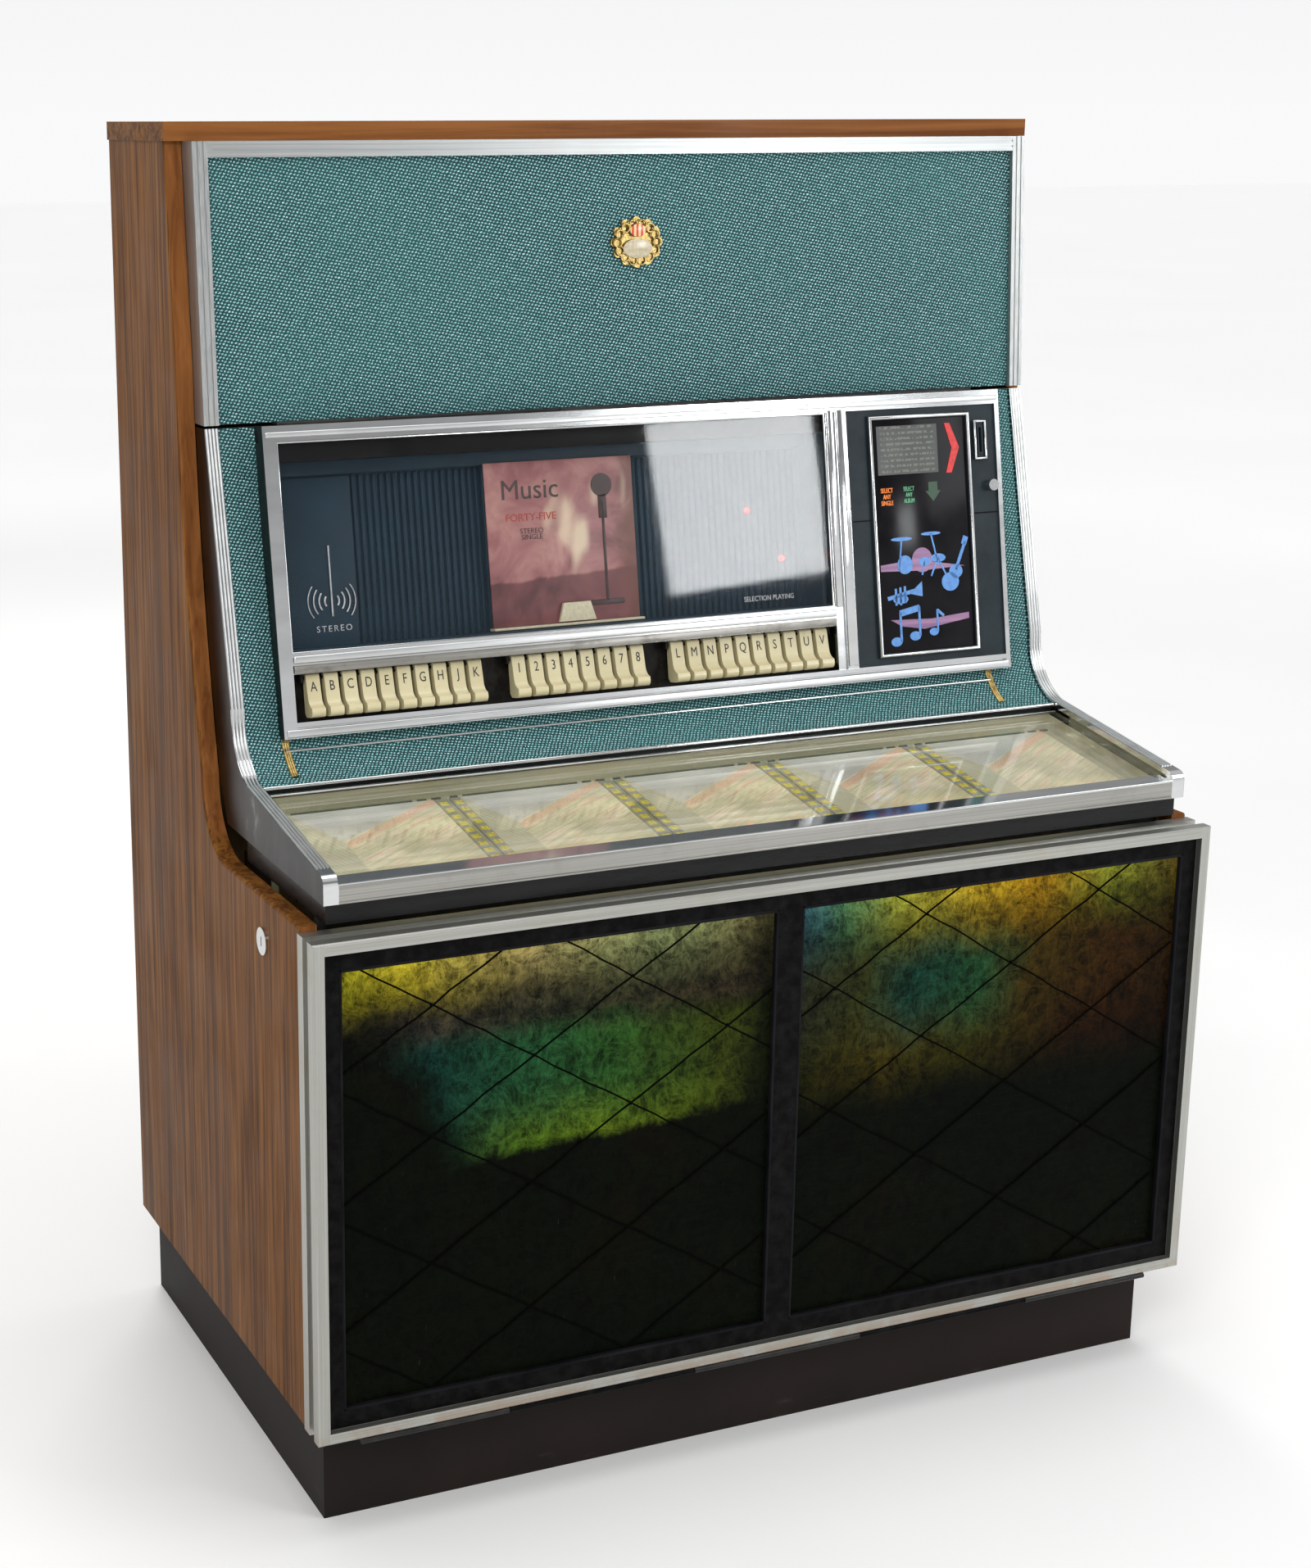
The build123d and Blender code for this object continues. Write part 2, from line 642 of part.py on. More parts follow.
lid_leaf_depth = panel_depth(LID_TOP, CLOTH_INSET) + 4
lid_knuckles = moving_knuckles(LID_HINGE_STEPS, LID_PIN, lid_leaf_depth, LID_TOP - LEAF - 1, LID_TOP - 0.6)
lid_panel = lid_sheet() + lid_skirt()
for knuckle in lid_knuckles:
    lid_panel += knuckle
save("lid_panel", lid_panel)
save("lid_trim", lid_cheek(), mirrored(lid_cheek()), deck_nose())
save("deck_glass", deck_glass())
save("title_tray", *title_tray())


# ---- Display face ----

def display_frame():
    """Chrome frame round the display, with a bar under the window and a divider."""
    right = FACE_HALF - FRAME_RIGHT
    left = FRAME_LEFT - FACE_HALF
    low = KEYS_BOTTOM
    high = FACE_TOP - FRAME_TOP
    head = placed(FACE, -FACE_HALF, FACE_HALF, 0, FRAME_TOP_DEEP, high, FACE_TOP)
    foot = placed(FACE, -FACE_HALF, FACE_HALF, 0, FRAME_DEEP, FACE_BOTTOM, low)
    foot -= placed(FACE, left, right, -1, 4, low - 10, low - 5)
    jamb = placed(FACE, -FACE_HALF, left, 0, FRAME_DEEP, low, high)
    far_jamb = placed(FACE, right, FACE_HALF, 0, FRAME_DEEP, low, high)
    divider = placed(FACE, *DIVIDER, 1, FRAME_DEEP, low, high)
    divider -= placed(FACE, DIVIDER[0] + 9, DIVIDER[0] + 12, 0, 4, low, high)
    sill = placed(FACE, left, DIVIDER[0], 1, FRAME_DEEP, KEYS_TOP + 9, WINDOW_BOTTOM)
    sill += placed(FACE, left, DIVIDER[0], 6, FRAME_DEEP, KEYS_TOP, KEYS_TOP + 9)
    return [head, foot, jamb, far_jamb, divider, sill]


def display_backdrop():
    """Tray behind the display window that holds the picture card and the ribbed panels."""
    left = FRAME_LEFT - FACE_HALF
    right = DIVIDER[0]
    high = FACE_TOP - FRAME_TOP
    tray = placed(FACE, left, right, FRAME_DEEP, BACKDROP_DEEP, WINDOW_BOTTOM, high)
    low_inside, high_inside = WINDOW_BOTTOM + SHEET, high - SHEET
    back_inside = BACKDROP_DEEP - SHEET
    tray -= placed(FACE, left + SHEET, right - SHEET, FRAME_DEEP - 1, back_inside, low_inside, high_inside)
    return tray


def key_bed():
    """Black tray behind the keys and the steel rods that the keys turn on."""
    left = FRAME_LEFT - FACE_HALF
    right = DIVIDER[0]
    bed = placed(FACE, left, right, KEY_BED_FRONT, KEY_BED_FRONT + 4, KEYS_BOTTOM, KEYS_TOP)
    rods = []
    for names, start in KEY_GROUPS:
        length = (len(names) - 1) * KEY_PITCH + KEY_WIDTH
        for x in (start - 5, start + length + 2):
            bed += placed(FACE, x, x + 3, KEY_PIVOT[0] - 4, KEY_BED_FRONT, KEY_PIVOT[1] - 4, KEY_PIVOT[1] + 4)
        bar = Pos(start + length / 2, *KEY_PIVOT) * Rot(0, 90, 0) * Cylinder(KEY_ROD, length + 4)
        rods.append(FACE * bar)
    return [bed, *rods]


def selector_key(x):
    """Ivory key: a flat upper face, a lip that stands forwards and a bore for its rod."""
    pivot_d, pivot_h = KEY_PIVOT
    low = KEYS_BOTTOM + 3.5
    outline = [
        Line((19, pivot_h - 5), (19, low + 4)),
        Line((19, low + 4), (15, low)),
        Line((15, low), (3, low)),
        ThreePointArc((3, low), (-2.2, low + 2.2), (-3.5, low + 7)),
        Line((-3.5, low + 7), (-3, low + 10)),
        ThreePointArc((-3, low + 10), (3.4, low + 13.5), (6.5, low + 19)),
        Line((6.5, low + 19), (10, pivot_h + 2)),
        ThreePointArc((10, pivot_h + 2), (11.5, pivot_h + 3.6), (13.5, pivot_h + 4)),
        ThreePointArc((13.5, pivot_h + 4), (18.5, pivot_h + 1), (19, pivot_h - 5)),
    ]
    blade = extrude(Plane.YZ.offset(x) * make_face(outline), amount=KEY_WIDTH, dir=(1, 0, 0))
    bore = Pos(x + KEY_WIDTH / 2, pivot_d, pivot_h) * Rot(0, 90, 0) * Cylinder(KEY_HOLE, KEY_WIDTH * 2)
    return FACE * (blade - bore)


def coin_panel():
    """Dark panel with the framed window, the coin slot's chrome plate and the coin box behind."""
    low = KEYS_BOTTOM
    high = FACE_TOP - FRAME_TOP
    right = FACE_HALF - FRAME_RIGHT
    x0, x1, h0, h1 = COIN_WINDOW
    back = COIN_FRONT + COIN_THICK
    panel = placed(FACE, DIVIDER[1], right, COIN_FRONT, back, low, high)
    slot_low, slot_high = SLOT_HEIGHTS[0] + 6, SLOT_HEIGHTS[1] - 6
    slot = placed(FACE, SLOT_X - SLOT_WIDTH / 2, SLOT_X + SLOT_WIDTH / 2, -5, 60, slot_low, slot_high)
    bezel = placed(FACE, SLOT_X - 7, SLOT_X + 7, COIN_FRONT - 2.5, COIN_FRONT, *SLOT_HEIGHTS)
    lip_low, lip_high = SLOT_HEIGHTS[0] + 4, SLOT_HEIGHTS[1] - 4
    bezel += placed(FACE, SLOT_X - 3.5, SLOT_X + 3.5, COIN_FRONT - 4.5, COIN_FRONT, lip_low, lip_high)
    ring = placed(FACE, x0, x1, COIN_FRONT - 3.5, COIN_FRONT, h0, h1)
    ring -= placed(FACE, x0 + 5, x1 - 5, COIN_FRONT - 5, COIN_FRONT + 1, h0 + 5, h1 - 5)
    window = placed(FACE, x0 + 5, x1 - 5, COIN_FRONT - 1.5, COIN_FRONT, h0 + 5, h1 - 5)
    bore = Rot(90, 0, 0) * Cylinder(BUTTON_RADIUS - 1.5 + 0.08, 20)
    bore = FACE * Pos(BUTTON_X, back / 2, BUTTON_HEIGHT) * bore
    acceptor = placed(FACE, SLOT_X - 45, SLOT_X + 15, FRAME_DEEP, 60, 66, 140)
    chute = placed(FACE, SLOT_X - 35, SLOT_X + 5, FRAME_DEEP, 50, low, 40)
    return [panel - slot - bore, bezel - slot, ring, window, acceptor - slot, chute]


def coin_button():
    """Round chrome coin-return button on its stem."""
    seat = FACE * Pos(BUTTON_X, 0, BUTTON_HEIGHT) * Rot(90, 0, 0)
    stem_end = COIN_FRONT + COIN_THICK + 8
    upwards = (Align.CENTER, Align.CENTER, Align.MIN)
    cap = Pos(0, 0, 5 - COIN_FRONT) * Cylinder(BUTTON_RADIUS, 5, align=upwards)
    stem = Pos(0, 0, -stem_end) * Cylinder(BUTTON_RADIUS - 1.5, stem_end + 2, align=upwards)
    return seat * (cap + stem)


save("display_frame", *display_frame())
save("display_backdrop", display_backdrop())
glass_left = FRAME_LEFT - FACE_HALF
save("display_glass", placed(FACE, glass_left, DIVIDER[0], 6, 10, WINDOW_BOTTOM, FACE_TOP - FRAME_TOP))
save("key_bed", *key_bed())
save("coin_panel", *coin_panel())
save("coin_button", coin_button())
for names, start in KEY_GROUPS:
    for index, name in enumerate(names):
        save(f"key_{name}", selector_key(start + index * KEY_PITCH))


# ---- Record mechanism ----

def comb(depth0, depth1):
    """Bar with a slot for every record's edge."""
    reach = RECORD_COUNT * RECORD_PITCH / 2
    low = RECORD_Z - RECORD_RADIUS - 14
    high = RECORD_Z - RECORD_RADIUS + 26
    corners = [(-reach - 8, low), (-reach - 8, high)]
    for index in range(RECORD_COUNT):
        x = (index + 0.5) * RECORD_PITCH - reach
        corners += [(x - 1.5, high), (x - 1.5, low + 8), (x + 1.5, low + 8), (x + 1.5, high)]
    corners += [(reach + 8, high), (reach + 8, low)]
    face = Plane.XZ.offset(-at(depth0)) * make_face(Polyline(*corners, close=True))
    return extrude(face, amount=depth1 - depth0, dir=(0, 1, 0))


def record_magazine():
    """Two slotted combs on end brackets, and the two rails that the carriage runs on."""
    reach = RECORD_COUNT * RECORD_PITCH / 2 + 8
    front = comb(RECORD_DEPTH - 62, RECORD_DEPTH - 50)
    back = comb(RECORD_DEPTH + 50, RECORD_DEPTH + 62)
    low = RECORD_Z - RECORD_RADIUS - 14
    pieces = [front, back]
    for x in (-reach - 6, reach):
        pieces.append(block(x, x + 6, RECORD_DEPTH - 62, RECORD_DEPTH + 62, FLOOR_TOP, low + 40))
    for depth in RAIL_DEPTHS:
        pieces.append(rod(-RAIL_REACH, RAIL_REACH, depth, RAIL_Z, RAIL_RADIUS))
    for x in (-RAIL_REACH - 8, RAIL_REACH):
        pieces.append(block(x, x + 8, RAIL_DEPTHS[0] - 14, RAIL_DEPTHS[1] + 14, FLOOR_TOP, RAIL_Z + 14))
    return pieces


def record_row():
    """Row of upright single records, each with its large middle hole."""
    disc = Rot(0, 90, 0) * (Cylinder(RECORD_RADIUS, RECORD_THICK) - Cylinder(RECORD_HOLE, RECORD_THICK * 2))
    reach = RECORD_COUNT * RECORD_PITCH / 2
    row = []
    for index in range(RECORD_COUNT):
        x = (index + 0.5) * RECORD_PITCH - reach
        row.append(Pos(x, at(RECORD_DEPTH), RECORD_Z) * disc)
    return row


def carriage():
    """Block that slides on the rails and carries the upright turntable and the tone arm."""
    front = RAIL_DEPTHS[0] - 14
    back = RAIL_DEPTHS[1] + 14
    base = block(-CARRIAGE_HALF, CARRIAGE_HALF, front, back, RAIL_Z - 12, RAIL_Z + 12)
    for depth in RAIL_DEPTHS:
        base -= rod(-CARRIAGE_HALF - 1, CARRIAGE_HALF + 1, depth, RAIL_Z, RAIL_RADIUS + RAIL_CLEARANCE)
    post = block(-40, -28, front + 6, back - 6, RAIL_Z + 12, SPINDLE[1] + 20)
    post -= rod(-50, -20, *SPINDLE, SPINDLE_RADIUS + 0.05)
    motor = rod(-74, -52, SPINDLE[0], SPINDLE[1], 22)
    bracket = block(-74, -40, SPINDLE[0] - 10, SPINDLE[0] + 10, RAIL_Z + 12, SPINDLE[1] - 22)
    return base + post + motor + bracket


def turntable():
    """Upright platter with its hub and spindle, which turn together."""
    spindle = rod(-46, 12, *SPINDLE, SPINDLE_RADIUS)
    platter = rod(-22, -16, *SPINDLE, PLATTER_RADIUS)
    hub = rod(-16, 4, *SPINDLE, RECORD_HOLE - 1)
    return spindle + platter + hub


def tone_arm():
    """Pick-up arm that leans on the carriage and swings towards the platter."""
    pivot = (RAIL_DEPTHS[1] - 4, RAIL_Z + 22)
    arm = block(20, 28, pivot[0] - 4, pivot[0] + 4, pivot[1] - 8, pivot[1] + 84)
    head = block(14, 28, pivot[0] - 7, pivot[0] + 7, pivot[1] + 84, pivot[1] + 104)
    return arm + head - rod(10, 40, *pivot, 3.05)


def arm_bracket():
    """Pivot pin that carries the tone arm."""
    pivot = (RAIL_DEPTHS[1] - 4, RAIL_Z + 22)
    pin = rod(18, 44, *pivot, 3.0)
    lug = block(34, 44, pivot[0] - 8, pivot[0] + 8, RAIL_Z + 12, pivot[1] + 8)
    return pin + lug


save("record_magazine", *record_magazine())
save("records", *record_row())
save("carriage", carriage() + arm_bracket())
save("turntable", turntable())
save("tone_arm", tone_arm())


# ---- Amplifier, cash box and lamps ----

def amplifier():
    """Steel chassis with a finned cooler and two transformers."""
    chassis = block(-230, 50, 420, 570, FLOOR_TOP, FLOOR_TOP + 60)
    for index in range(12):
        x = index * 12 - 216
        chassis += block(x, x + 3, 540, 570, FLOOR_TOP + 60, FLOOR_TOP + 110)
    chassis += block(-60, 0, 450, 510, FLOOR_TOP + 60, FLOOR_TOP + 115)
    chassis += block(-180, -130, 450, 500, FLOOR_TOP + 60, FLOOR_TOP + 105)
    return chassis


def cash_box():
    """Open steel box that catches the coins."""
    box = block(260, 440, 90, 270, FLOOR_TOP, FLOOR_TOP + 90)
    return box - block(262, 438, 92, 268, FLOOR_TOP + 2, FLOOR_TOP + 91)


def lamps():
    """Fluorescent tube under the title tray with its two holders on posts."""
    tube = rod(-430, 430, 110, 604, 13)
    holder = block(430, 446, 94, 126, 588, 620)
    post = block(446, 450, 94, 126, FLOOR_TOP, 620)
    return [tube, holder, mirrored(holder), post, mirrored(post)]


save("amplifier", amplifier())
save("cash_box", cash_box())
save("lamps", *lamps())
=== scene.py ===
import math
import random

import bpy
from mathutils import Matrix, Vector


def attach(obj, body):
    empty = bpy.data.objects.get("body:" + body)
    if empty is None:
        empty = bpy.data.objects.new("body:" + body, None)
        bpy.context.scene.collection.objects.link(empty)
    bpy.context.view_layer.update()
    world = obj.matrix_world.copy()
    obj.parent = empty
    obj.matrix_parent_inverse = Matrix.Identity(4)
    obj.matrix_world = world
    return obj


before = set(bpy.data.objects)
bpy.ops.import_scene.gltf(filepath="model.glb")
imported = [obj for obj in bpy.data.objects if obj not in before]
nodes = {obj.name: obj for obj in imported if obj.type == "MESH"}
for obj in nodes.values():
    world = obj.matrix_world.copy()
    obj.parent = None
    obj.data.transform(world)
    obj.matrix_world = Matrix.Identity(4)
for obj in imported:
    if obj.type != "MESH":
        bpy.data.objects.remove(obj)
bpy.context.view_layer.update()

random.seed(7)

# ---- Camera ------------------------------------------------------------------------------
# Stands to the left of the cabinet at eye height and looks slightly down on the title deck.
# The lens is shifted sideways, so the cabinet's uprights stay nearly upright.
CAMERA_PLACE = Vector((-1.261, -2.369, 1.362))
CAMERA_YAW = math.radians(22.49)
CAMERA_PITCH = math.radians(-14.19)
CAMERA_ROLL = math.radians(-0.16)
CAMERA_LENS = 57.374
CAMERA_SHIFT = (0.15, -0.0213)

ahead = Vector((math.sin(CAMERA_YAW) * math.cos(CAMERA_PITCH),
                math.cos(CAMERA_YAW) * math.cos(CAMERA_PITCH), math.sin(CAMERA_PITCH)))
level = Vector((math.cos(CAMERA_YAW), -math.sin(CAMERA_YAW), 0.0))
upward = level.cross(ahead)
across = level * math.cos(CAMERA_ROLL) + upward * math.sin(CAMERA_ROLL)
upward = upward * math.cos(CAMERA_ROLL) - level * math.sin(CAMERA_ROLL)
bpy.ops.object.camera_add(location=CAMERA_PLACE)
camera = bpy.context.object
camera.data.lens = CAMERA_LENS
camera.data.sensor_width = 36.0
camera.data.shift_x, camera.data.shift_y = CAMERA_SHIFT
camera.data.clip_end = 200.0
turned = Matrix((across, upward, -ahead)).transposed().to_4x4()
camera.matrix_world = Matrix.Translation(CAMERA_PLACE) @ turned
bpy.context.scene.camera = camera

# ---- Studio: floor, sky and lights ---------------------------------------------------------
# A pale seamless floor under a bright dome, with soft boxes above, to the left and in front.
# A small bright panel stands where a window would show in the selector's glass.
bpy.context.scene.view_settings.view_transform = "Standard"


class Wire:
    """An output socket. Sums, products and comparisons of wires add the Math nodes they need."""

    def __init__(self, finish, socket):
        self.finish = finish
        self.socket = socket

    def math(self, operation, first, second=None):
        sockets = {0: first} if second is None else {0: first, 1: second}
        return self.finish.node("ShaderNodeMath", {"operation": operation}, sockets)

    def __add__(self, other):
        return self.math("ADD", self, other)

    def __radd__(self, other):
        return self.math("ADD", other, self)

    def __sub__(self, other):
        return self.math("SUBTRACT", self, other)

    def __rsub__(self, other):
        return self.math("SUBTRACT", other, self)

    def __mul__(self, other):
        return self.math("MULTIPLY", self, other)

    def __rmul__(self, other):
        return self.math("MULTIPLY", other, self)

    def __truediv__(self, other):
        return self.math("DIVIDE", self, other)

    def __pow__(self, other):
        return self.math("POWER", self, other)

    def __gt__(self, other):
        return self.math("GREATER_THAN", self, other)

    def __lt__(self, other):
        return self.math("LESS_THAN", self, other)

    def __mod__(self, other):
        return self.math("FLOORED_MODULO", self, other)

    def __abs__(self):
        return self.math("ABSOLUTE", self)

    def sine(self):
        return self.math("SINE", self)

    def most(self, other):
        return self.math("MAXIMUM", self, other)

    def rising(self, start, end):
        """0 below start, 1 above end, with a soft step between them."""
        return self.finish.node("ShaderNodeMapRange", {"interpolation_type": "SMOOTHSTEP"},
                                {"Value": self, "From Min": start, "From Max": end})


class Finish:
    """A material being made. node() adds any node, and coat() closes it with the main shader."""

    def __init__(self, name):
        self.material = bpy.data.materials.new(name)
        self.material.use_nodes = True
        self.tree = self.material.node_tree
        self.tree.nodes.clear()

    def node(self, kind, settings=None, sockets=None, output=0):
        made = self.tree.nodes.new(kind)
        for name, value in (settings or {}).items():
            if name == "stops":
                self.set_stops(made.color_ramp, value)
            else:
                setattr(made, name, value)
        for key, value in (sockets or {}).items():
            if isinstance(value, Wire):
                self.tree.links.new(value.socket, made.inputs[key])
            else:
                made.inputs[key].default_value = value
        return Wire(self, made.outputs[output]) if made.outputs else None

    def set_stops(self, ramp, stops):
        while len(ramp.elements) < len(stops):
            ramp.elements.new(0.5)
        for element, (position, colour) in zip(ramp.elements, stops):
            element.position = position
            element.color = (*colour, 1.0)

    def place(self, kind="Object"):
        return self.node("ShaderNodeTexCoord", output=kind)

    def split(self, vector):
        first = self.node("ShaderNodeSeparateXYZ", sockets={0: vector})
        return [Wire(self, output) for output in first.socket.node.outputs]

    def join(self, x, y, z):
        return self.node("ShaderNodeCombineXYZ", sockets={0: x, 1: y, 2: z})

    def scaled(self, vector, scale, turn=(0.0, 0.0, 0.0)):
        return self.node("ShaderNodeMapping", sockets={"Vector": vector, "Scale": scale, "Rotation": turn})

    def noise(self, vector, scale, detail=3.0, rough=0.5, distortion=0.0):
        return self.node("ShaderNodeTexNoise", sockets={
            "Vector": vector, "Scale": scale, "Detail": detail, "Roughness": rough,
            "Distortion": distortion})

    def ramp(self, factor, stops):
        return self.node("ShaderNodeValToRGB", {"stops": stops}, {0: factor})

    def tones(self, factor, low, high, start=0.3, end=0.7):
        """Two tones with a soft run between them."""
        return self.ramp(factor, [(start, low), (end, high)])

    def mix(self, factor, first, second, blend="MIX"):
        def colour(value):
            return value if isinstance(value, Wire) else (*value, 1.0)
        return self.node("ShaderNodeMix", {"data_type": "RGBA", "blend_type": blend},
                         {0: factor, 6: colour(first), 7: colour(second)}, output=2)

    def bump(self, height, distance, strength=1.0, below=None):
        sockets = {"Height": height, "Distance": distance, "Strength": strength}
        if below is not None:
            sockets["Normal"] = below
        return self.node("ShaderNodeBump", sockets=sockets)

    def coat(self, colour, roughness=0.5, metallic=0.0, normal=None, **more):
        sockets = {"Base Color": colour if isinstance(colour, Wire) else (*colour, 1.0),
                   "Roughness": roughness, "Metallic": metallic}
        if normal is not None:
            sockets["Normal"] = normal
        for name, value in more.items():
            sockets[name.replace("_", " ").title().replace("Ior", "IOR")] = value
        shader = self.node("ShaderNodeBsdfPrincipled", sockets=sockets)
        return self.close(shader)

    def close(self, shader):
        self.node("ShaderNodeOutputMaterial", sockets={0: shader})
        return self.material


def plain_finish(name, scale, low, high, rough, detail=3.0, grit=0.5, metallic=0.0, bump=None,
                 stretch=None, span=(0.3, 0.7), **more):
    """A finish of one noise between two tones; rough is (share of the noise, least roughness)."""
    paint = Finish(name)
    spot = paint.place()
    if stretch:
        spot = paint.scaled(spot, stretch)
    grain = paint.noise(spot, scale, detail, grit)
    share, least = rough
    normal = paint.bump(grain, *bump) if bump else None
    colour = paint.tones(grain, low, high, *span)
    return paint.coat(colour, grain * share + least, metallic, normal, **more)


def dress(material, *names):
    """Gives CAD nodes their material, in every slot."""
    for name in names:
        for slot in nodes[name].material_slots:
            slot.material = material


FLOOR_HALF = 40.0
paint = Finish("studio_floor")
spot = paint.place()
soft_stain = paint.noise(spot, 0.8, 4.0)
floor_colour = paint.tones(soft_stain, (0.80, 0.80, 0.79), (0.84, 0.84, 0.83))
x, y, z = paint.split(spot)
# Painted glow: the floor's emission rises with distance, so that the far floor fades into the pale backdrop.
far = ((x * x + y * y) ** 0.5).rising(1.6, 7.0)
far_floor_glow = paint.mix(far, (0.0, 0.0, 0.0), (0.42, 0.42, 0.42))
floor_paint = paint.coat(floor_colour, 0.6, specular_ior_level=0.2, emission_color=far_floor_glow,
                         emission_strength=1.0)
bpy.ops.mesh.primitive_plane_add(size=2 * FLOOR_HALF, location=(0, 0, 0))
floor = bpy.context.object
floor.name = "studio_floor"
floor.data.materials.append(floor_paint)

world = bpy.data.worlds.new("studio_sky")
bpy.context.scene.world = world
world.use_nodes = True
sky = world.node_tree
sky.nodes.clear()
sky_place = sky.nodes.new("ShaderNodeTexCoord")
sky_split = sky.nodes.new("ShaderNodeSeparateXYZ")
sky_ramp = sky.nodes.new("ShaderNodeValToRGB")
sky_light = sky.nodes.new("ShaderNodeBackground")
sky_out = sky.nodes.new("ShaderNodeOutputWorld")
SKY_STOPS = [(0.0, 1.12), (0.07, 1.06), (0.20, 0.42), (0.42, 0.30), (0.62, 0.75), (1.0, 1.0)]
while len(sky_ramp.color_ramp.elements) < len(SKY_STOPS):
    sky_ramp.color_ramp.elements.new(0.5)
for element, (position, grey) in zip(sky_ramp.color_ramp.elements, SKY_STOPS):
    element.position = position
    element.color = (grey, grey, grey * 1.01, 1.0)
sky.links.new(sky_place.outputs["Generated"], sky_split.inputs[0])
sky.links.new(sky_split.outputs[2], sky_ramp.inputs[0])
sky.links.new(sky_ramp.outputs[0], sky_light.inputs[0])
sky.links.new(sky_light.outputs[0], sky_out.inputs[0])
sky_light.inputs[1].default_value = 0.85


def soft_box(name, place, target, size, watts, colour=(1.0, 1.0, 1.0), seen_in_chrome=True):
    """A rectangular studio light that the camera itself doesn't see."""
    bpy.ops.object.light_add(type="AREA", location=place)
    lamp = bpy.context.object
    lamp.name = name
    lamp.data.shape = "RECTANGLE"
    lamp.data.size, lamp.data.size_y = size
    lamp.data.energy = watts
    lamp.data.color = colour
    lamp.visible_camera = False
    lamp.visible_glossy = seen_in_chrome
    aim = Vector(target) - Vector(place)
    lamp.rotation_euler = aim.to_track_quat("-Z", "Y").to_euler()


soft_box("key_light", (-2.6, -3.4, 3.4), (0, 0, 0.7), (2.2, 1.6), 105.0, (1.0, 0.985, 0.96))
soft_box("fill_light", (3.2, -2.6, 2.6), (0, 0, 0.7), (1.6, 2.0), 42.0, (0.94, 0.97, 1.0))
soft_box("top_light", (0.0, -0.3, 4.2), (0, 0, 1.0), (3.0, 2.0), 42.0)
soft_box("back_light", (0.6, 3.6, 3.0), (0, 0, 0.7), (2.4, 1.6), 70.0)
soft_box("window_light", (1.49, -2.40, 1.40), (0.1, 0.0, 0.97), (0.36, 0.38), 11.0, (0.95, 0.97, 1.0))

# ---- Cabinet boards ------------------------------------------------------------------------
# The two sides and the top are particle board with a walnut-grain laminate, grain upright on
# the sides and along the top. Their front edges carry a smoother, redder edging strip.


def walnut(name, along):
    """Laminate whose grain runs along one axis: 2 is up, 0 is across the cabinet."""
    paint = Finish(name)
    spot = paint.place()
    long_axis, tight = 1.1, 26.0
    stretch = [tight, tight, tight]
    stretch[along] = long_axis
    board = paint.scaled(spot, stretch)
    drift = paint.noise(board, 0.55, 3.0, 0.6, 0.4)
    rings = paint.noise(board, 2.2, 5.0, 0.62, 1.3)
    fine = [260.0, 260.0, 260.0]
    fine[along] = 5.0
    pores = paint.noise(paint.scaled(spot, fine), 1.0, 3.0, 0.6)
    streaks = [95.0, 95.0, 95.0]
    streaks[along] = 2.2
    dark = paint.noise(paint.scaled(spot, streaks), 1.0, 4.0, 0.65, 0.6)
    body = paint.ramp(rings, [(0.28, (0.085, 0.028, 0.005)), (0.45, (0.145, 0.055, 0.011)),
                              (0.60, (0.205, 0.083, 0.018)), (0.78, (0.290, 0.125, 0.030))])
    body = paint.mix(drift.rising(0.35, 0.75) * 0.55, body, (0.150, 0.054, 0.009))
    body = paint.mix(dark.rising(0.48, 0.62) * 0.80, body, (0.055, 0.021, 0.007))
    body = paint.mix(pores.rising(0.52, 0.64) * 0.60, body, (0.040, 0.015, 0.006))
    facing = paint.split(paint.place("Normal"))
    edge = (0.0 - facing[1]).rising(0.55, 0.8)
    edging = paint.tones(dark, (0.130, 0.045, 0.013), (0.250, 0.096, 0.028), 0.35, 0.65)
    body = paint.mix(edge, body, edging)
    height = pores * 0.6 + dark * 0.4
    rub = paint.noise(spot, 9.0, 4.0, 0.6)
    shine = rub.rising(0.3, 0.8) * 0.14 + 0.36 - edge * 0.12
    return paint.coat(body, shine, 0.0, paint.bump(height, 0.00012, 0.55), specular_ior_level=0.04)


dress(walnut("walnut_upright", 2), "left_side_panel", "right_side_panel")
dress(walnut("walnut_across", 0), "top_board")

# ---- Plinth, floor board and back ----------------------------------------------------------
# A recessed plinth of boards painted nearly black, scuffed low down. The floor and the back
# are bare pressed board, the back held by screws round its edge, with slots for the warm air.
paint = Finish("plinth_paint")
spot = paint.place()
x, y, z = paint.split(spot)
cloud = paint.noise(spot, 7.0, 5.0, 0.6)
scuff = paint.noise(paint.scaled(spot, (14.0, 14.0, 60.0)), 1.0, 6.0, 0.7)
dull = paint.tones(cloud, (0.0095, 0.0070, 0.0062), (0.0170, 0.0115, 0.0098))
worn = scuff.rising(0.60, 0.72) * (1.0 - z.rising(0.0, 0.05))
dull = paint.mix(worn * 0.5, dull, (0.060, 0.050, 0.044))
PLINTH_PAINT = paint.coat(dull, cloud * 0.25 + 0.45, 0.0, paint.bump(scuff, 0.0002, 0.3),
                          specular_ior_level=0.12)
dress(PLINTH_PAINT, "plinth")

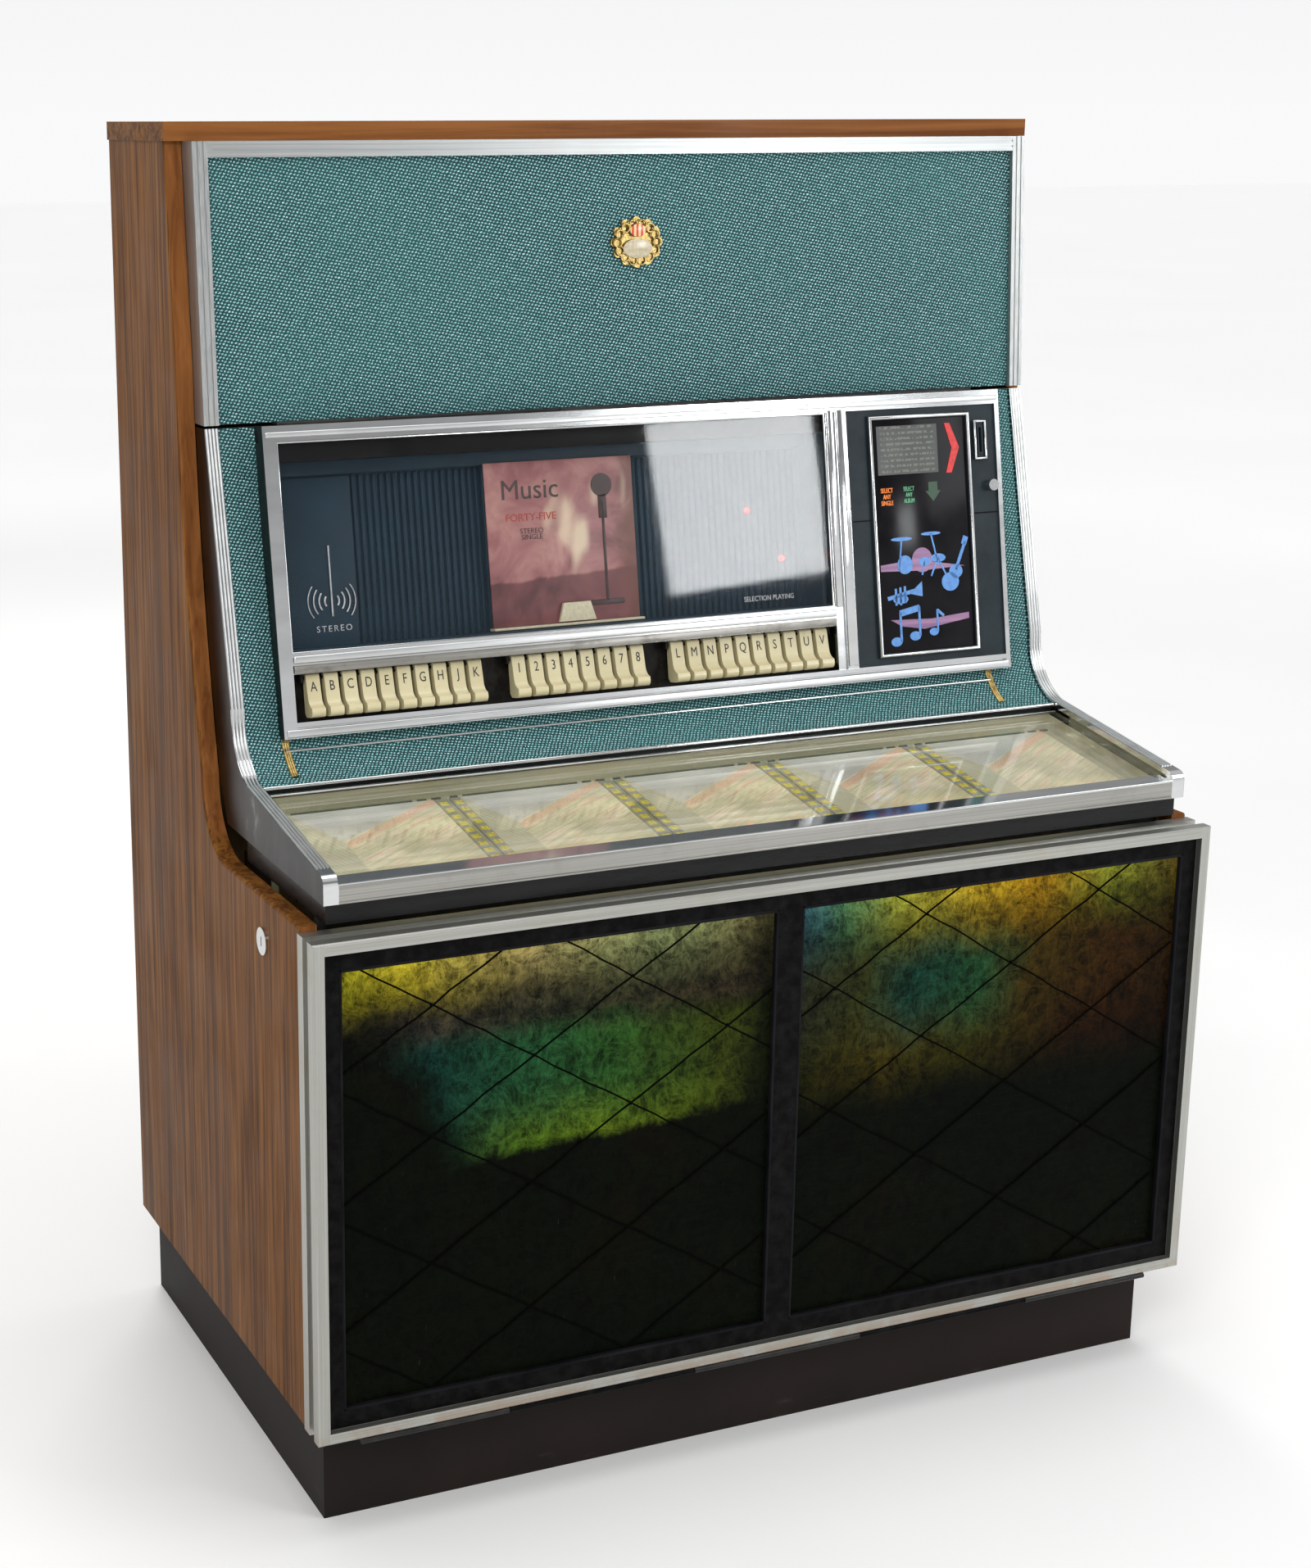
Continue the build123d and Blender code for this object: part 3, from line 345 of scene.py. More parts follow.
paint = Finish("pressed_board")
spot = paint.place()
x, y, z = paint.split(spot)
fibre = paint.noise(paint.scaled(spot, (160.0, 160.0, 55.0)), 1.0, 6.0, 0.7)
stain = paint.noise(spot, 3.5, 4.0, 0.6)
board = paint.tones(fibre, (0.115, 0.066, 0.034), (0.205, 0.130, 0.074))
board = paint.mix(stain.rising(0.4, 0.8) * 0.5, board, (0.130, 0.078, 0.044))
metal = y.rising(0.3030, 0.3032)
board = paint.mix(metal, board, (0.42, 0.42, 0.40))
PRESSED_BOARD = paint.coat(board, fibre * 0.2 + 0.62 - metal * 0.35, metal,
                           paint.bump(fibre, 0.0003, 0.5))
dress(PRESSED_BOARD, "back_panel", "floor_board")

# ---- Machinery inside ------------------------------------------------------------------------
# Record rack, carriage, turntable, arm, amplifier and cash box: zinc-plated sheet, grey
# castings and black pressed records. They show when the lid is up or the door is down.
paint = Finish("plated_sheet")
spot = paint.place()
brush = paint.noise(paint.scaled(spot, (30.0, 400.0, 400.0)), 1.0, 3.0)
dull = paint.noise(spot, 11.0, 4.0, 0.6)
zinc = paint.tones(dull, (0.38, 0.38, 0.36), (0.52, 0.51, 0.47))
PLATED = paint.coat(zinc, brush * 0.2 + dull * 0.15 + 0.20, 1.0, paint.bump(brush, 0.00008, 0.4))
dress(PLATED, "amplifier", "cash_box", "record_magazine")

# Painted shade: the hinges are made near black so that they read as the shaded seam where the selector frame
# meets the cloth. The lamp shield below uses the same dark steel.
SEAM_SHADE_STEEL = plain_finish("hinge_black_as_seam_shade", 70.0, (0.010, 0.010, 0.010), (0.030, 0.028, 0.026),
                          (0.2, 0.35), 4.0, 0.6, 0.6, (0.00005, 0.3))
dress(SEAM_SHADE_STEEL, "hinges")

paint = Finish("cast_metal")
spot = paint.place()
sand = paint.noise(spot, 650.0, 3.0, 0.6)
smear = paint.noise(spot, 14.0, 4.0, 0.6)
grey = paint.tones(smear, (0.21, 0.21, 0.22), (0.33, 0.33, 0.34))
CAST = paint.coat(grey, sand * 0.15 + 0.42, 0.85, paint.bump(sand, 0.0002, 0.5))
dress(CAST, "carriage", "tone_arm", "turntable")

RACK_Y, RACK_Z = 0.191, 0.742
paint = Finish("pressed_vinyl")
x, y, z = paint.split(paint.place())
across_rack, up_rack = y - RACK_Y, z - RACK_Z
radius = (across_rack * across_rack + up_rack * up_rack) ** 0.5
groove = (radius * 3600.0).sine()
label = 1.0 - radius.rising(0.0440, 0.0445)
disc_tint = paint.noise(paint.join(x * 100.0, 0.0, 0.0), 1.0, 0.0)
label_colour = paint.ramp(disc_tint, [(0.35, (0.45, 0.06, 0.04)), (0.45, (0.62, 0.45, 0.10)),
                                      (0.55, (0.06, 0.16, 0.38)), (0.65, (0.55, 0.52, 0.44))])
black = paint.mix(label, (0.010, 0.010, 0.011), label_colour)
RECORDS = paint.coat(black, label * 0.35 + 0.16, 0.0, paint.bump(groove * (1.0 - label), 0.00006, 0.5))
dress(RECORDS, "records")

SPEAKER_PAPER = plain_finish("speaker_paper", 420.0, (0.012, 0.012, 0.012), (0.035, 0.033, 0.030),
                             (0.2, 0.62), 4.0, 0.7, bump=(0.0003, 0.6))
dress(SPEAKER_PAPER, "speakers")
CHIPBOARD = plain_finish("baffle_board", 1.0, (0.020, 0.018, 0.016), (0.045, 0.038, 0.030), (0.0, 0.75),
                         5.0, 0.7, bump=(0.0004, 0.5), stretch=(120.0, 120.0, 160.0))
dress(CHIPBOARD, "speaker_baffle")

paint = Finish("glowing_tube")
x, y, z = paint.split(paint.place())
cap = abs(x).rising(0.405, 0.4055)
phosphor = paint.noise(paint.join(x * 30.0, y, z), 1.0, 2.0)
tube = paint.tones(phosphor, (0.93, 0.94, 0.88), (0.97, 0.97, 0.92))
tube = paint.mix(cap, tube, (0.50, 0.50, 0.48))
glow = paint.mix(cap, (1.0, 0.93, 0.72), (0.0, 0.0, 0.0))
dress(paint.coat(tube, 0.3, cap, emission_color=glow, emission_strength=3.0), "lamps")

# ---- Speaker grille --------------------------------------------------------------------------
# Teal twill with tinsel threads, stretched over the baffle and held by a ribbed aluminium trim.
# A small cast badge with enamel hangs in front of the cloth.
GRILLE_LEAN = math.atan2(0.019, 0.280)
GRILLE_FRAME = Matrix.Translation((0, 0.051, 1.061)) @ Matrix.Rotation(-GRILLE_LEAN, 4, "X")


def pick(piece):
    """Leaves only one piece selected, and active."""
    bpy.ops.object.select_all(action="DESELECT")
    piece.select_set(True)
    bpy.context.view_layer.objects.active = piece


def settle(piece):
    """Makes a piece's modifiers part of its mesh."""
    pick(piece)
    for modifier in list(piece.modifiers):
        bpy.ops.object.modifier_apply(modifier=modifier.name)


def apply_place():
    """Makes the selected piece's place, turn and size part of its mesh."""
    bpy.ops.object.transform_apply(location=True, rotation=True, scale=True)
    return bpy.context.object


def place(piece, frame_matrix, material, body, slot, angle=35.0):
    """Applies what is on a piece, puts it in its tilted frame, and hands it to its body."""
    settle(piece)
    piece.matrix_world = frame_matrix @ piece.matrix_world
    apply_place()
    bpy.ops.object.shade_smooth_by_angle(angle=math.radians(angle))
    piece.data.materials.clear()
    piece.data.materials.append(material)
    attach(piece, body)
    return piece


def bar(name, low, high, bevel=0.0006, segments=2):
    """A bar between two corners with rounded edges, not yet placed."""
    low, high = Vector(low), Vector(high)
    bpy.ops.mesh.primitive_cube_add(size=1.0, location=(low + high) / 2)
    piece = bpy.context.object
    piece.name = name
    piece.scale = high - low
    apply_place()
    if bevel:
        rounding = piece.modifiers.new("rounding", "BEVEL")
        rounding.width = bevel
        rounding.segments = segments
        rounding.limit_method = "ANGLE"
    return piece


def round_plate(centre, half_wide, half_high, thick, vertices):
    """A round or oval plate that faces the player, not yet placed."""
    bpy.ops.mesh.primitive_cylinder_add(vertices=vertices, radius=1.0, depth=1.0,
                                        rotation=(math.radians(90), 0, 0), location=centre)
    bpy.context.object.scale = (half_wide, half_high, thick)
    return apply_place()


def ball(centre, radius, segments, rings):
    """A small ball, not yet placed."""
    bpy.ops.mesh.primitive_uv_sphere_add(segments=segments, ring_count=rings, radius=radius,
                                         location=centre)
    return apply_place()


def merge(name, pieces):
    """Joins finished pieces into one object."""
    for piece in pieces:
        settle(piece)
    bpy.ops.object.select_all(action="DESELECT")
    for piece in pieces:
        piece.select_set(True)
    bpy.context.view_layer.objects.active = pieces[0]
    bpy.ops.object.join()
    pieces[0].name = name
    return pieces[0]


def woven(name):
    """Twill of dark teal yarn with tinsel showing in short slanting floats, mapped in metres; its pale
    flecks are painted glints.
    """
    paint = Finish(name)
    u, v = paint.split(paint.place("UV"))[:2]
    flat = paint.join(u, v, 0.0)
    shake = paint.noise(flat, 160.0, 2.0) - 0.5
    slant = (u * 1.0 - v * 0.62) * 1500.0 + shake * 4.4
    row = (v * 1.0 + u * 0.20) * 1850.0 + shake * 3.4
    floats = (slant.sine() * 0.5 + 0.5) * (row.sine() * 0.5 + 0.5)
    fleck = paint.noise(flat, 1050.0, 2.0, 0.6)
    tinsel_glint = paint.noise(paint.scaled(flat, (900.0, 420.0, 1.0)), 1.0, 1.0)
    cloud = paint.noise(flat, 3.0, 4.0, 0.6)
    tone = paint.ramp(floats + (fleck - 0.5) * 0.9, [
        (0.04, (0.003, 0.016, 0.020)), (0.24, (0.018, 0.088, 0.096)),
        (0.50, (0.064, 0.225, 0.232)), (0.85, (0.240, 0.510, 0.520))])
    # Painted highlight: pale flecks where the tinsel threads would catch the light.
    tone = paint.mix(tinsel_glint.rising(0.55, 0.63) * floats.rising(0.12, 0.40) * 0.85, tone,
                     (0.55, 0.80, 0.82))
    warm = paint.noise(flat, 520.0, 1.0)
    tone = paint.mix(warm.rising(0.62, 0.72) * 0.35, tone, (0.085, 0.100, 0.060))
    tone = paint.mix(cloud.rising(0.35, 0.75) * 0.25, tone, (0.030, 0.150, 0.145))
    weave = paint.bump(floats + fleck * 0.4, 0.00045, 0.8)
    return paint.coat(tone, 0.62 - tinsel_glint.rising(0.58, 0.72) * 0.28, 0.0, weave, sheen_weight=0.15,
                      sheen_roughness=0.4, specular_ior_level=0.25)


def metric_uv(piece, first, second):
    """Lays a piece's texture out in metres along two of its own axes."""
    layer = piece.data.uv_layers.active or piece.data.uv_layers.new(name="cloth")
    for loop in piece.data.loops:
        spot = piece.data.vertices[loop.vertex_index].co
        layer.data[loop.index].uv = (spot[first], spot[second])


def thicken(cloth):
    """Gives a sheet of cloth its thickness, half to each side."""
    thick = cloth.modifiers.new("thickness", "SOLIDIFY")
    thick.thickness = CLOTH_THICK
    thick.offset = 0.0


TEAL_CLOTH = woven("teal_twill")
CLOTH_HALF, CLOTH_HEIGHT, CLOTH_FRONT, CLOTH_THICK = 0.4886, 0.2745, 0.0068, 0.0007
bpy.ops.mesh.primitive_grid_add(x_subdivisions=48, y_subdivisions=16, size=1.0,
                                rotation=(math.radians(90), 0, 0))
grille_cloth = bpy.context.object
grille_cloth.name = "grille_cloth"
grille_cloth.scale = (2 * CLOTH_HALF, CLOTH_HEIGHT, 1.0)
grille_cloth.location = (0, CLOTH_FRONT, CLOTH_HEIGHT / 2 + 0.0008)
apply_place()
metric_uv(grille_cloth, 0, 2)
thicken(grille_cloth)
place(grille_cloth, GRILLE_FRAME, TEAL_CLOTH, "cabinet", "lid_board")

def drawn_lines(paint, spot, x, turn_start, turn_end):
    """Lines left by the die: along x near the middle, upright on the outer bars."""
    uprights = abs(x).rising(turn_start, turn_end)
    along_x = paint.noise(paint.scaled(spot, (3.0, 700.0, 700.0)), 1.0, 4.0, 0.6)
    along_z = paint.noise(paint.scaled(spot, (700.0, 700.0, 3.0)), 1.0, 4.0, 0.6)
    return along_x * (1.0 - uprights) + along_z * uprights


paint = Finish("ribbed_aluminium")
spot = paint.place()
x, y, z = paint.split(spot)
drawn = drawn_lines(paint, spot, x, 0.470, 0.480)
dirt = paint.noise(spot, 24.0, 6.0, 0.7)
silver = paint.tones(drawn, (0.31, 0.32, 0.32), (0.46, 0.47, 0.46))
silver = paint.mix(dirt.rising(0.52, 0.75) * 0.40, silver, (0.40, 0.38, 0.32))
ALUMINIUM = paint.coat(silver, drawn * 0.16 + dirt * 0.10 + 0.22, 0.9, paint.bump(drawn, 0.00006, 0.5))
dress(ALUMINIUM, "grille_trim")

BADGE_Z, BADGE_Y = 1.233, 0.0632
paint = Finish("badge_brass")
spot = paint.place()
tarnish = paint.noise(spot, 180.0, 5.0, 0.7)
brass = paint.ramp(tarnish, [(0.3, (0.16, 0.10, 0.035)), (0.55, (0.46, 0.33, 0.12)),
                             (0.75, (0.66, 0.53, 0.25))])
BADGE_BRASS = paint.coat(brass, tarnish * 0.25 + 0.22, 1.0, paint.bump(tarnish, 0.0004, 0.7))
dress(BADGE_BRASS, "grille_badge")

paint = Finish("enamel")
spot = paint.place()
x, y, z = paint.split(spot)
flute = (x * 1150.0).sine().rising(-0.15, 0.15)
cloud = paint.noise(spot, 260.0, 3.0)
upper = z.rising(BADGE_Z + 0.0048, BADGE_Z + 0.0052)
red = paint.mix(flute, (0.55, 0.06, 0.015), (0.72, 0.52, 0.30))
cream = paint.tones(cloud, (0.38, 0.32, 0.20), (0.56, 0.50, 0.36))
ENAMEL = paint.coat(paint.mix(upper, cream, red), cloud * 0.2 + 0.12, 0.0, paint.bump(cloud, 0.0002, 0.4))
enamel_parts = []
for width, height, lift in ((0.0175, 0.0105, -0.0065), (0.0095, 0.0068, 0.0125)):
    disc = round_plate((0, BADGE_Y - 0.0001, BADGE_Z + lift), width, height, 0.0022, 40)
    dome = disc.modifiers.new("dome", "BEVEL")
    dome.width, dome.segments, dome.limit_method = 0.0009, 3, "ANGLE"
    enamel_parts.append(disc)
badge_enamel = merge("badge_enamel", enamel_parts)
place(badge_enamel, Matrix.Identity(4), ENAMEL, "cabinet", "brass")

BEAD_COUNT = 14
beads = []
for number in range(BEAD_COUNT):
    turn = 2 * math.pi * number / BEAD_COUNT
    bpy.ops.mesh.primitive_torus_add(
        major_segments=16, minor_segments=6, major_radius=0.0046, minor_radius=0.0011,
        rotation=(math.radians(90), 0, 0),
        location=(0.0235 * math.cos(turn), BADGE_Y + 0.0004, BADGE_Z + 0.0195 * math.sin(turn)))
    beads.append(bpy.context.object)
    apply_place()
badge_scrolls = merge("badge_scrolls", beads)
place(badge_scrolls, Matrix.Identity(4), BADGE_BRASS, "cabinet", "brass")

# ---- Lid board and its cloth -----------------------------------------------------------------
# The lid's board carries the same teal cloth, cut round the selector and pulled over the hollow
# where the slope runs out into the deck. Below the deck hangs a gloss black skirt.
LID_TOP_POINT, LID_BEND = (0.357, 1.058), (0.291, 0.781)
LID_HOLLOW, LID_DECK = (0.274, 0.733), (0.243, 0.712)
FRONT_SHIFT = 0.305
CLOTH_SINK = 0.0040


def circle_through(first, second, third):
    """Centre and radius of the circle through three points of the side view."""
    (ax, ay), (bx, by), (cx, cy) = first, second, third
    twice = 2 * (ax * (by - cy) + bx * (cy - ay) + cx * (ay - by))
    a2, b2, c2 = ax * ax + ay * ay, bx * bx + by * by, cx * cx + cy * cy
    ux = (a2 * (by - cy) + b2 * (cy - ay) + c2 * (ay - by)) / twice
    uy = (a2 * (cx - bx) + b2 * (ax - cx) + c2 * (bx - ax)) / twice
    return (ux, uy), math.hypot(ax - ux, ay - uy)


def lid_line(sink):
    """Side view of the lid's front, as (depth, height), sunk behind the moulding line."""
    slope = Vector((LID_BEND[0] - LID_TOP_POINT[0], LID_BEND[1] - LID_TOP_POINT[1])).normalized()
    inward = Vector((-slope.y, slope.x))
    points = []
    for step in range(14):
        share = step / 14
        spot = Vector(LID_TOP_POINT).lerp(Vector(LID_BEND), share) + inward * sink
        points.append((spot.x, spot.y))
    (cx, cy), radius = circle_through(LID_BEND, LID_HOLLOW, LID_DECK)
    start = math.atan2(LID_BEND[1] - cy, LID_BEND[0] - cx)
    end = math.atan2(LID_DECK[1] - cy, LID_DECK[0] - cx)
    for step in range(11):
        turn = start + (end - start) * step / 10
        points.append((cx + (radius + sink) * math.cos(turn), cy + (radius + sink) * math.sin(turn)))
    return points


LID_CLOTH_HALF, CUT_HALF, CUT_BOTTOM = 0.4788, 0.4400, 0.762
lid_run = lid_line(CLOTH_SINK)
below_cut = [spot for spot in lid_run if spot[1] < CUT_BOTTOM]


def stretched_over(name, columns, run):
    """One width of cloth laid down the lid, its texture measured along the run."""
    lengths = [0.0]
    for (d0, z0), (d1, z1) in zip(run, run[1:]):
        lengths.append(lengths[-1] + math.hypot(d1 - d0, z1 - z0))
    bpy.ops.mesh.primitive_grid_add(x_subdivisions=len(columns) - 1, y_subdivisions=len(run) - 1, size=1.0)
    cloth = bpy.context.object
    cloth.name = name
    flat_places = {}
    for vertex in cloth.data.vertices:
        across_step = round((vertex.co.x + 0.5) * (len(columns) - 1))
        down_step = round((0.5 - vertex.co.y) * (len(run) - 1))
        flat_places[vertex.index] = (columns[across_step], -lengths[down_step])
        depth, height = run[down_step]
        vertex.co = (columns[across_step], depth - FRONT_SHIFT, height)
    for loop in cloth.data.loops:
        cloth.data.uv_layers.active.data[loop.index].uv = flat_places[loop.vertex_index]
    thicken(cloth)
    place(cloth, Matrix.Identity(4), TEAL_CLOTH, "lid", "lid_board")


stretched_over("lid_cloth_left", [-LID_CLOTH_HALF, -0.4660, -0.4530, -CUT_HALF], lid_run)
stretched_over("lid_cloth_right", [CUT_HALF, 0.4530, 0.4660, LID_CLOTH_HALF], lid_run)
middle_columns = [(CUT_HALF - 0.0002) * (number / 12 - 1.0) for number in range(25)]
stretched_over("lid_cloth_lower", middle_columns, below_cut)

paint = Finish("lid_board_paint")
spot = paint.place()
orange_peel = paint.noise(spot, 300.0, 2.0)
smear = paint.noise(paint.scaled(spot, (6.0, 40.0, 40.0)), 1.0, 5.0, 0.7)
black = paint.tones(smear, (0.004, 0.004, 0.004), (0.016, 0.016, 0.017), 0.3, 0.75)
BLACK_GLOSS = paint.coat(black, smear * 0.20 + 0.18, 0.0, paint.bump(orange_peel, 0.00003, 0.2),
                         specular_ior_level=0.2)
dress(BLACK_GLOSS, "lid_panel")

# ---- Lid mouldings -------------------------------------------------------------------------
# Chrome-plated strips run down both sides of the cloth and on along the deck as raised rails.
# Four fine ribs are rolled into each. The outer cheeks are dark, worn metal.


def chromed(name, dark_from=None, least_rough=0.06):
    """Bright plate with faint wiping marks; beyond dark_from the metal is bare and dull."""
    paint = Finish(name)
    spot = paint.place()
    x, y, z = paint.split(spot)
    wipe = paint.noise(paint.scaled(spot, (9.0, 30.0, 30.0)), 1.0, 3.0, 0.55)
    bright = paint.tones(wipe, (0.56, 0.57, 0.57), (0.68, 0.69, 0.69))
    rough = wipe * 0.06 + least_rough
    if dark_from is not None:
        outer = abs(x).rising(dark_from, dark_from + 0.0002)
        worn = paint.noise(paint.scaled(spot, (60.0, 22.0, 9.0)), 1.0, 6.0, 0.7)
        dull = paint.ramp(worn, [(0.40, (0.012, 0.011, 0.011)), (0.62, (0.036, 0.034, 0.032)),
                                 (0.76, (0.30, 0.29, 0.28))])
        bright = paint.mix(outer, bright, dull)
        rough = rough + outer * 0.22
    return paint.coat(bright, rough, 1.0)


CHROME = chromed("chrome_plate")
CHEEK_CHROME = chromed("cheek_chrome", 0.4942)
FRAME_CHROME = chromed("frame_chrome", 0.4426, 0.10)
RIB_CHROME = chromed("rib_chrome", None, 0.32)
dress(CHEEK_CHROME, "lid_trim")


def rod_along(name, points, radius, sides=6, closed=False):
    """A round wire through the given points, as a mesh."""
    bpy.ops.curve.primitive_nurbs_path_add()
    wire = bpy.context.object
    wire.name = name
    wire.data.splines.clear()
    spline = wire.data.splines.new("POLY")
    spline.points.add(len(points) - 1)
    for knot, spot in zip(spline.points, points):
        knot.co = (*spot, 1.0)
    spline.use_cyclic_u = closed
    wire.data.bevel_depth = radius
    wire.data.bevel_resolution = max(0, sides // 2 - 2)
    wire.data.use_fill_caps = not closed
    bpy.ops.object.convert(target="MESH")
    return bpy.context.object


def ring_round(name, left, right, low, high, depth, radius, sides):
    """A closed wire round a rectangle that faces the player."""
    corners = [(left, depth, low), (right, depth, low), (right, depth, high), (left, depth, high)]
    return rod_along(name, corners, radius, sides, closed=True)


rail_line = lid_line(0.0)
DECK_SLOPE = math.radians(9.0)
NOSE_DEPTH, NOSE_HEIGHT = 0.046, 0.6808
RIB_COUNT, RIB_START, RIB_PITCH = 4, 0.4815, 0.0036
rail_line.append((NOSE_DEPTH, NOSE_HEIGHT))
for side, name in ((-1, "left"), (1, "right")):
    ribs = []
    for number in range(RIB_COUNT):
        across_at = side * (RIB_START + RIB_PITCH * number)
        run = [(across_at, depth - FRONT_SHIFT, height) for depth, height in rail_line]
        ribs.append(rod_along("rib", run, 0.0013, 8))
    place(merge("rail_ribs_" + name, ribs), Matrix.Identity(4), RIB_CHROME, "lid", "chrome", 60.0)

# ---- Selector frame ------------------------------------------------------------------------
# An extruded, plated frame round the selector window, its lower bars in three steps, with a
# bead round the glass. Its outer sides are painted black and worn through in places.
SELECTOR_LEAN = math.radians(-10.0)
SELECTOR = Matrix.Translation((0, -0.005, 0.900)) @ Matrix.Rotation(SELECTOR_LEAN, 4, "X")
GLASS_LEFT, GLASS_RIGHT, GLASS_LOW, GLASS_HIGH = -0.428, 0.215, -0.067, 0.148
dress(FRAME_CHROME, "display_frame")

glass_bead = ring_round("glass_bead", GLASS_LEFT + 0.001, GLASS_RIGHT - 0.001, GLASS_LOW,
                        GLASS_HIGH - 0.001, 0.004, 0.0017, 10)
place(glass_bead, SELECTOR, CHROME, "lid", "chrome", 60.0)

paint = Finish("grey_bar_metal")
spot = paint.place()
drawn = paint.noise(paint.scaled(spot, (5.0, 500.0, 500.0)), 1.0, 4.0, 0.6)
stain = paint.noise(paint.scaled(spot, (24.0, 60.0, 60.0)), 1.0, 5.0, 0.7)
grey = paint.tones(drawn, (0.23, 0.22, 0.20), (0.34, 0.33, 0.30))
grey = paint.mix(stain.rising(0.50, 0.70) * 0.6, grey, (0.10, 0.085, 0.065))
GREY_BAR = paint.coat(grey, drawn * 0.2 + 0.28, 0.9, paint.bump(drawn, 0.00006, 0.4))
grey_bar = bar("selector_grey_bar", (-0.4270, -0.0012, -0.0885), (0.2145, 0.0015, -0.0800), 0.0010)
place(grey_bar, SELECTOR, GREY_BAR, "lid", "chrome")
bars = [bar("upper", (-0.4270, -0.0022, -0.0780), (0.2145, 0.0015, -0.0700), 0.0016, 3),
        bar("top", (-0.4395, -0.0018, 0.1520), (0.4395, 0.0005, 0.1575), 0.0010, 3),
        bar("low", (-0.4395, -0.0020, -0.1530), (0.4395, 0.0005, -0.1450), 0.0014, 3)]
place(merge("selector_step_bars", bars), SELECTOR, RIB_CHROME, "lid", "chrome")

paint = Finish("olive_strip")
spot = paint.place()
stain = paint.noise(paint.scaled(spot, (30.0, 80.0, 80.0)), 1.0, 5.0, 0.7)
cream = paint.tones(stain, (0.15, 0.135, 0.090), (0.36, 0.33, 0.24))
OLIVE = paint.coat(cream, stain * 0.25 + 0.30, 0.3, paint.bump(stain, 0.0001, 0.4))
olive_strip = bar("selector_olive_strip", (-0.4270, 0.0010, -0.1435), (0.2390, 0.0120, -0.1390), 0.0006)
place(olive_strip, SELECTOR, OLIVE, "lid", "tray_white")

# ---- Behind the selector glass -------------------------------------------------------------
# A dark slate-blue moulding: a plain panel at the left with a device and the word STEREO, and
# upright flutes across the rest, under a plain band. A record sleeve stands on its lower edge.
paint = Finish("slate_moulding")
spot = paint.place()
grain = paint.noise(spot, 500.0, 3.0)
dust = paint.noise(spot, 22.0, 5.0, 0.7)
slate = paint.tones(dust, (0.0015, 0.0150, 0.0310), (0.0035, 0.0260, 0.0500))
slate_glow = paint.mix(0.12, (0.0, 0.0, 0.0), slate)
SLATE = paint.coat(slate, grain * 0.15 + 0.38, 0.0, paint.bump(grain, 0.0001, 0.4),
                   emission_color=slate_glow, emission_strength=1.0, specular_ior_level=0.25)
dress(SLATE, "display_backdrop")

WALL_D, FLUTE_TOP, FLUTE_PITCH, FLUTE_COUNT = 0.0595, 0.1120, 0.0078, 69
flute = bar("flute", (-0.3290, WALL_D - 0.0030, GLASS_LOW + 0.001),
            (-0.3240, WALL_D + 0.0002, FLUTE_TOP), 0.0015, 3)
repeat = flute.modifiers.new("repeat", "ARRAY")
repeat.use_relative_offset = False
repeat.use_constant_offset = True
repeat.constant_offset_displace = (FLUTE_PITCH, 0, 0)
repeat.count = FLUTE_COUNT
place(flute, SELECTOR, SLATE, "lid", "slate_plastic")
flute.name = "backdrop_flutes"
panel_parts = [bar("plain", (-0.4255, WALL_D - 0.0065, GLASS_LOW + 0.001),
                   (-0.3320, WALL_D, FLUTE_TOP), 0.0015, 3),
               bar("band", (-0.4255, WALL_D - 0.0120, 0.1130), (0.2125, WALL_D, 0.1330), 0.0015, 3)]
place(merge("backdrop_panels", panel_parts), SELECTOR, SLATE, "lid", "slate_plastic")

MASK_BLACK = plain_finish("black_mask_paint", 18.0, (0.003, 0.003, 0.004), (0.010, 0.010, 0.012),
                          (0.2, 0.25), 4.0, specular_ior_level=0.05)
window_mask = bar("window_mask", (-0.4275, 0.0130, 0.1270), (0.2145, 0.0300, 0.1475), 0.0008)
place(window_mask, SELECTOR, MASK_BLACK, "lid", "slate_plastic")


def written(name, words, size, spot, material, body, frame_matrix, slot, depth=0.0004, spacing=1.0,
            stretch=1.0, line=0.82):
    """Flat lettering facing the player, centred on a spot of a tilted frame."""
    bpy.ops.object.text_add()
    text = bpy.context.object
    text.data.body = words
    text.data.size = size
    text.data.extrude = depth / 2
    text.data.align_x = "CENTER"
    text.data.align_y = "CENTER"
    text.data.space_character = spacing
    text.data.space_line = line
    text.data.resolution_u = 3
    bpy.ops.object.convert(target="MESH")
    text = bpy.context.object
    text.name = name
    text.scale = (stretch, 1.0, 1.0)
    text.rotation_euler = (math.radians(90), 0, 0)
    text.location = spot
    apply_place()
    return place(text, frame_matrix, material, body, slot, 30.0)


SILVER_INK = plain_finish("silver_ink", 300.0, (0.38, 0.38, 0.42), (0.62, 0.62, 0.68), (0.2, 0.3),
                          metallic=0.2, span=(0.3, 0.6))
written("stereo_word", "STEREO", 0.0092, (-0.3610, WALL_D - 0.0075, -0.0470), SILVER_INK, "lid",
        SELECTOR, "slate_plastic", spacing=1.35)
written("playing_words", "SELECTION PLAYING", 0.0080, (0.1580, 0.0480, -0.0530), SILVER_INK, "lid",
        SELECTOR, "slate_plastic", stretch=0.85)

DEVICE = Vector((-0.3620, WALL_D - 0.0078, -0.0180))
waves = []
for number in range(4):
    reach = 0.0080 + 0.0062 * number
    for side in (-1, 1):
        arc = []
        for step in range(13):
            turn = math.radians(-38 + 76 * step / 12)
            arc.append((DEVICE.x + side * reach * math.cos(turn), DEVICE.y,
                        DEVICE.z + reach * math.sin(turn)))
        waves.append(rod_along("wave", arc, 0.0010 - 0.00013 * number, 6))
needle = [(DEVICE.x, DEVICE.y, DEVICE.z - 0.016), (DEVICE.x, DEVICE.y, DEVICE.z + 0.058)]
waves.append(rod_along("needle", needle, 0.0010, 6))
place(merge("sound_wave_device", waves), SELECTOR, SILVER_INK, "lid", "slate_plastic")

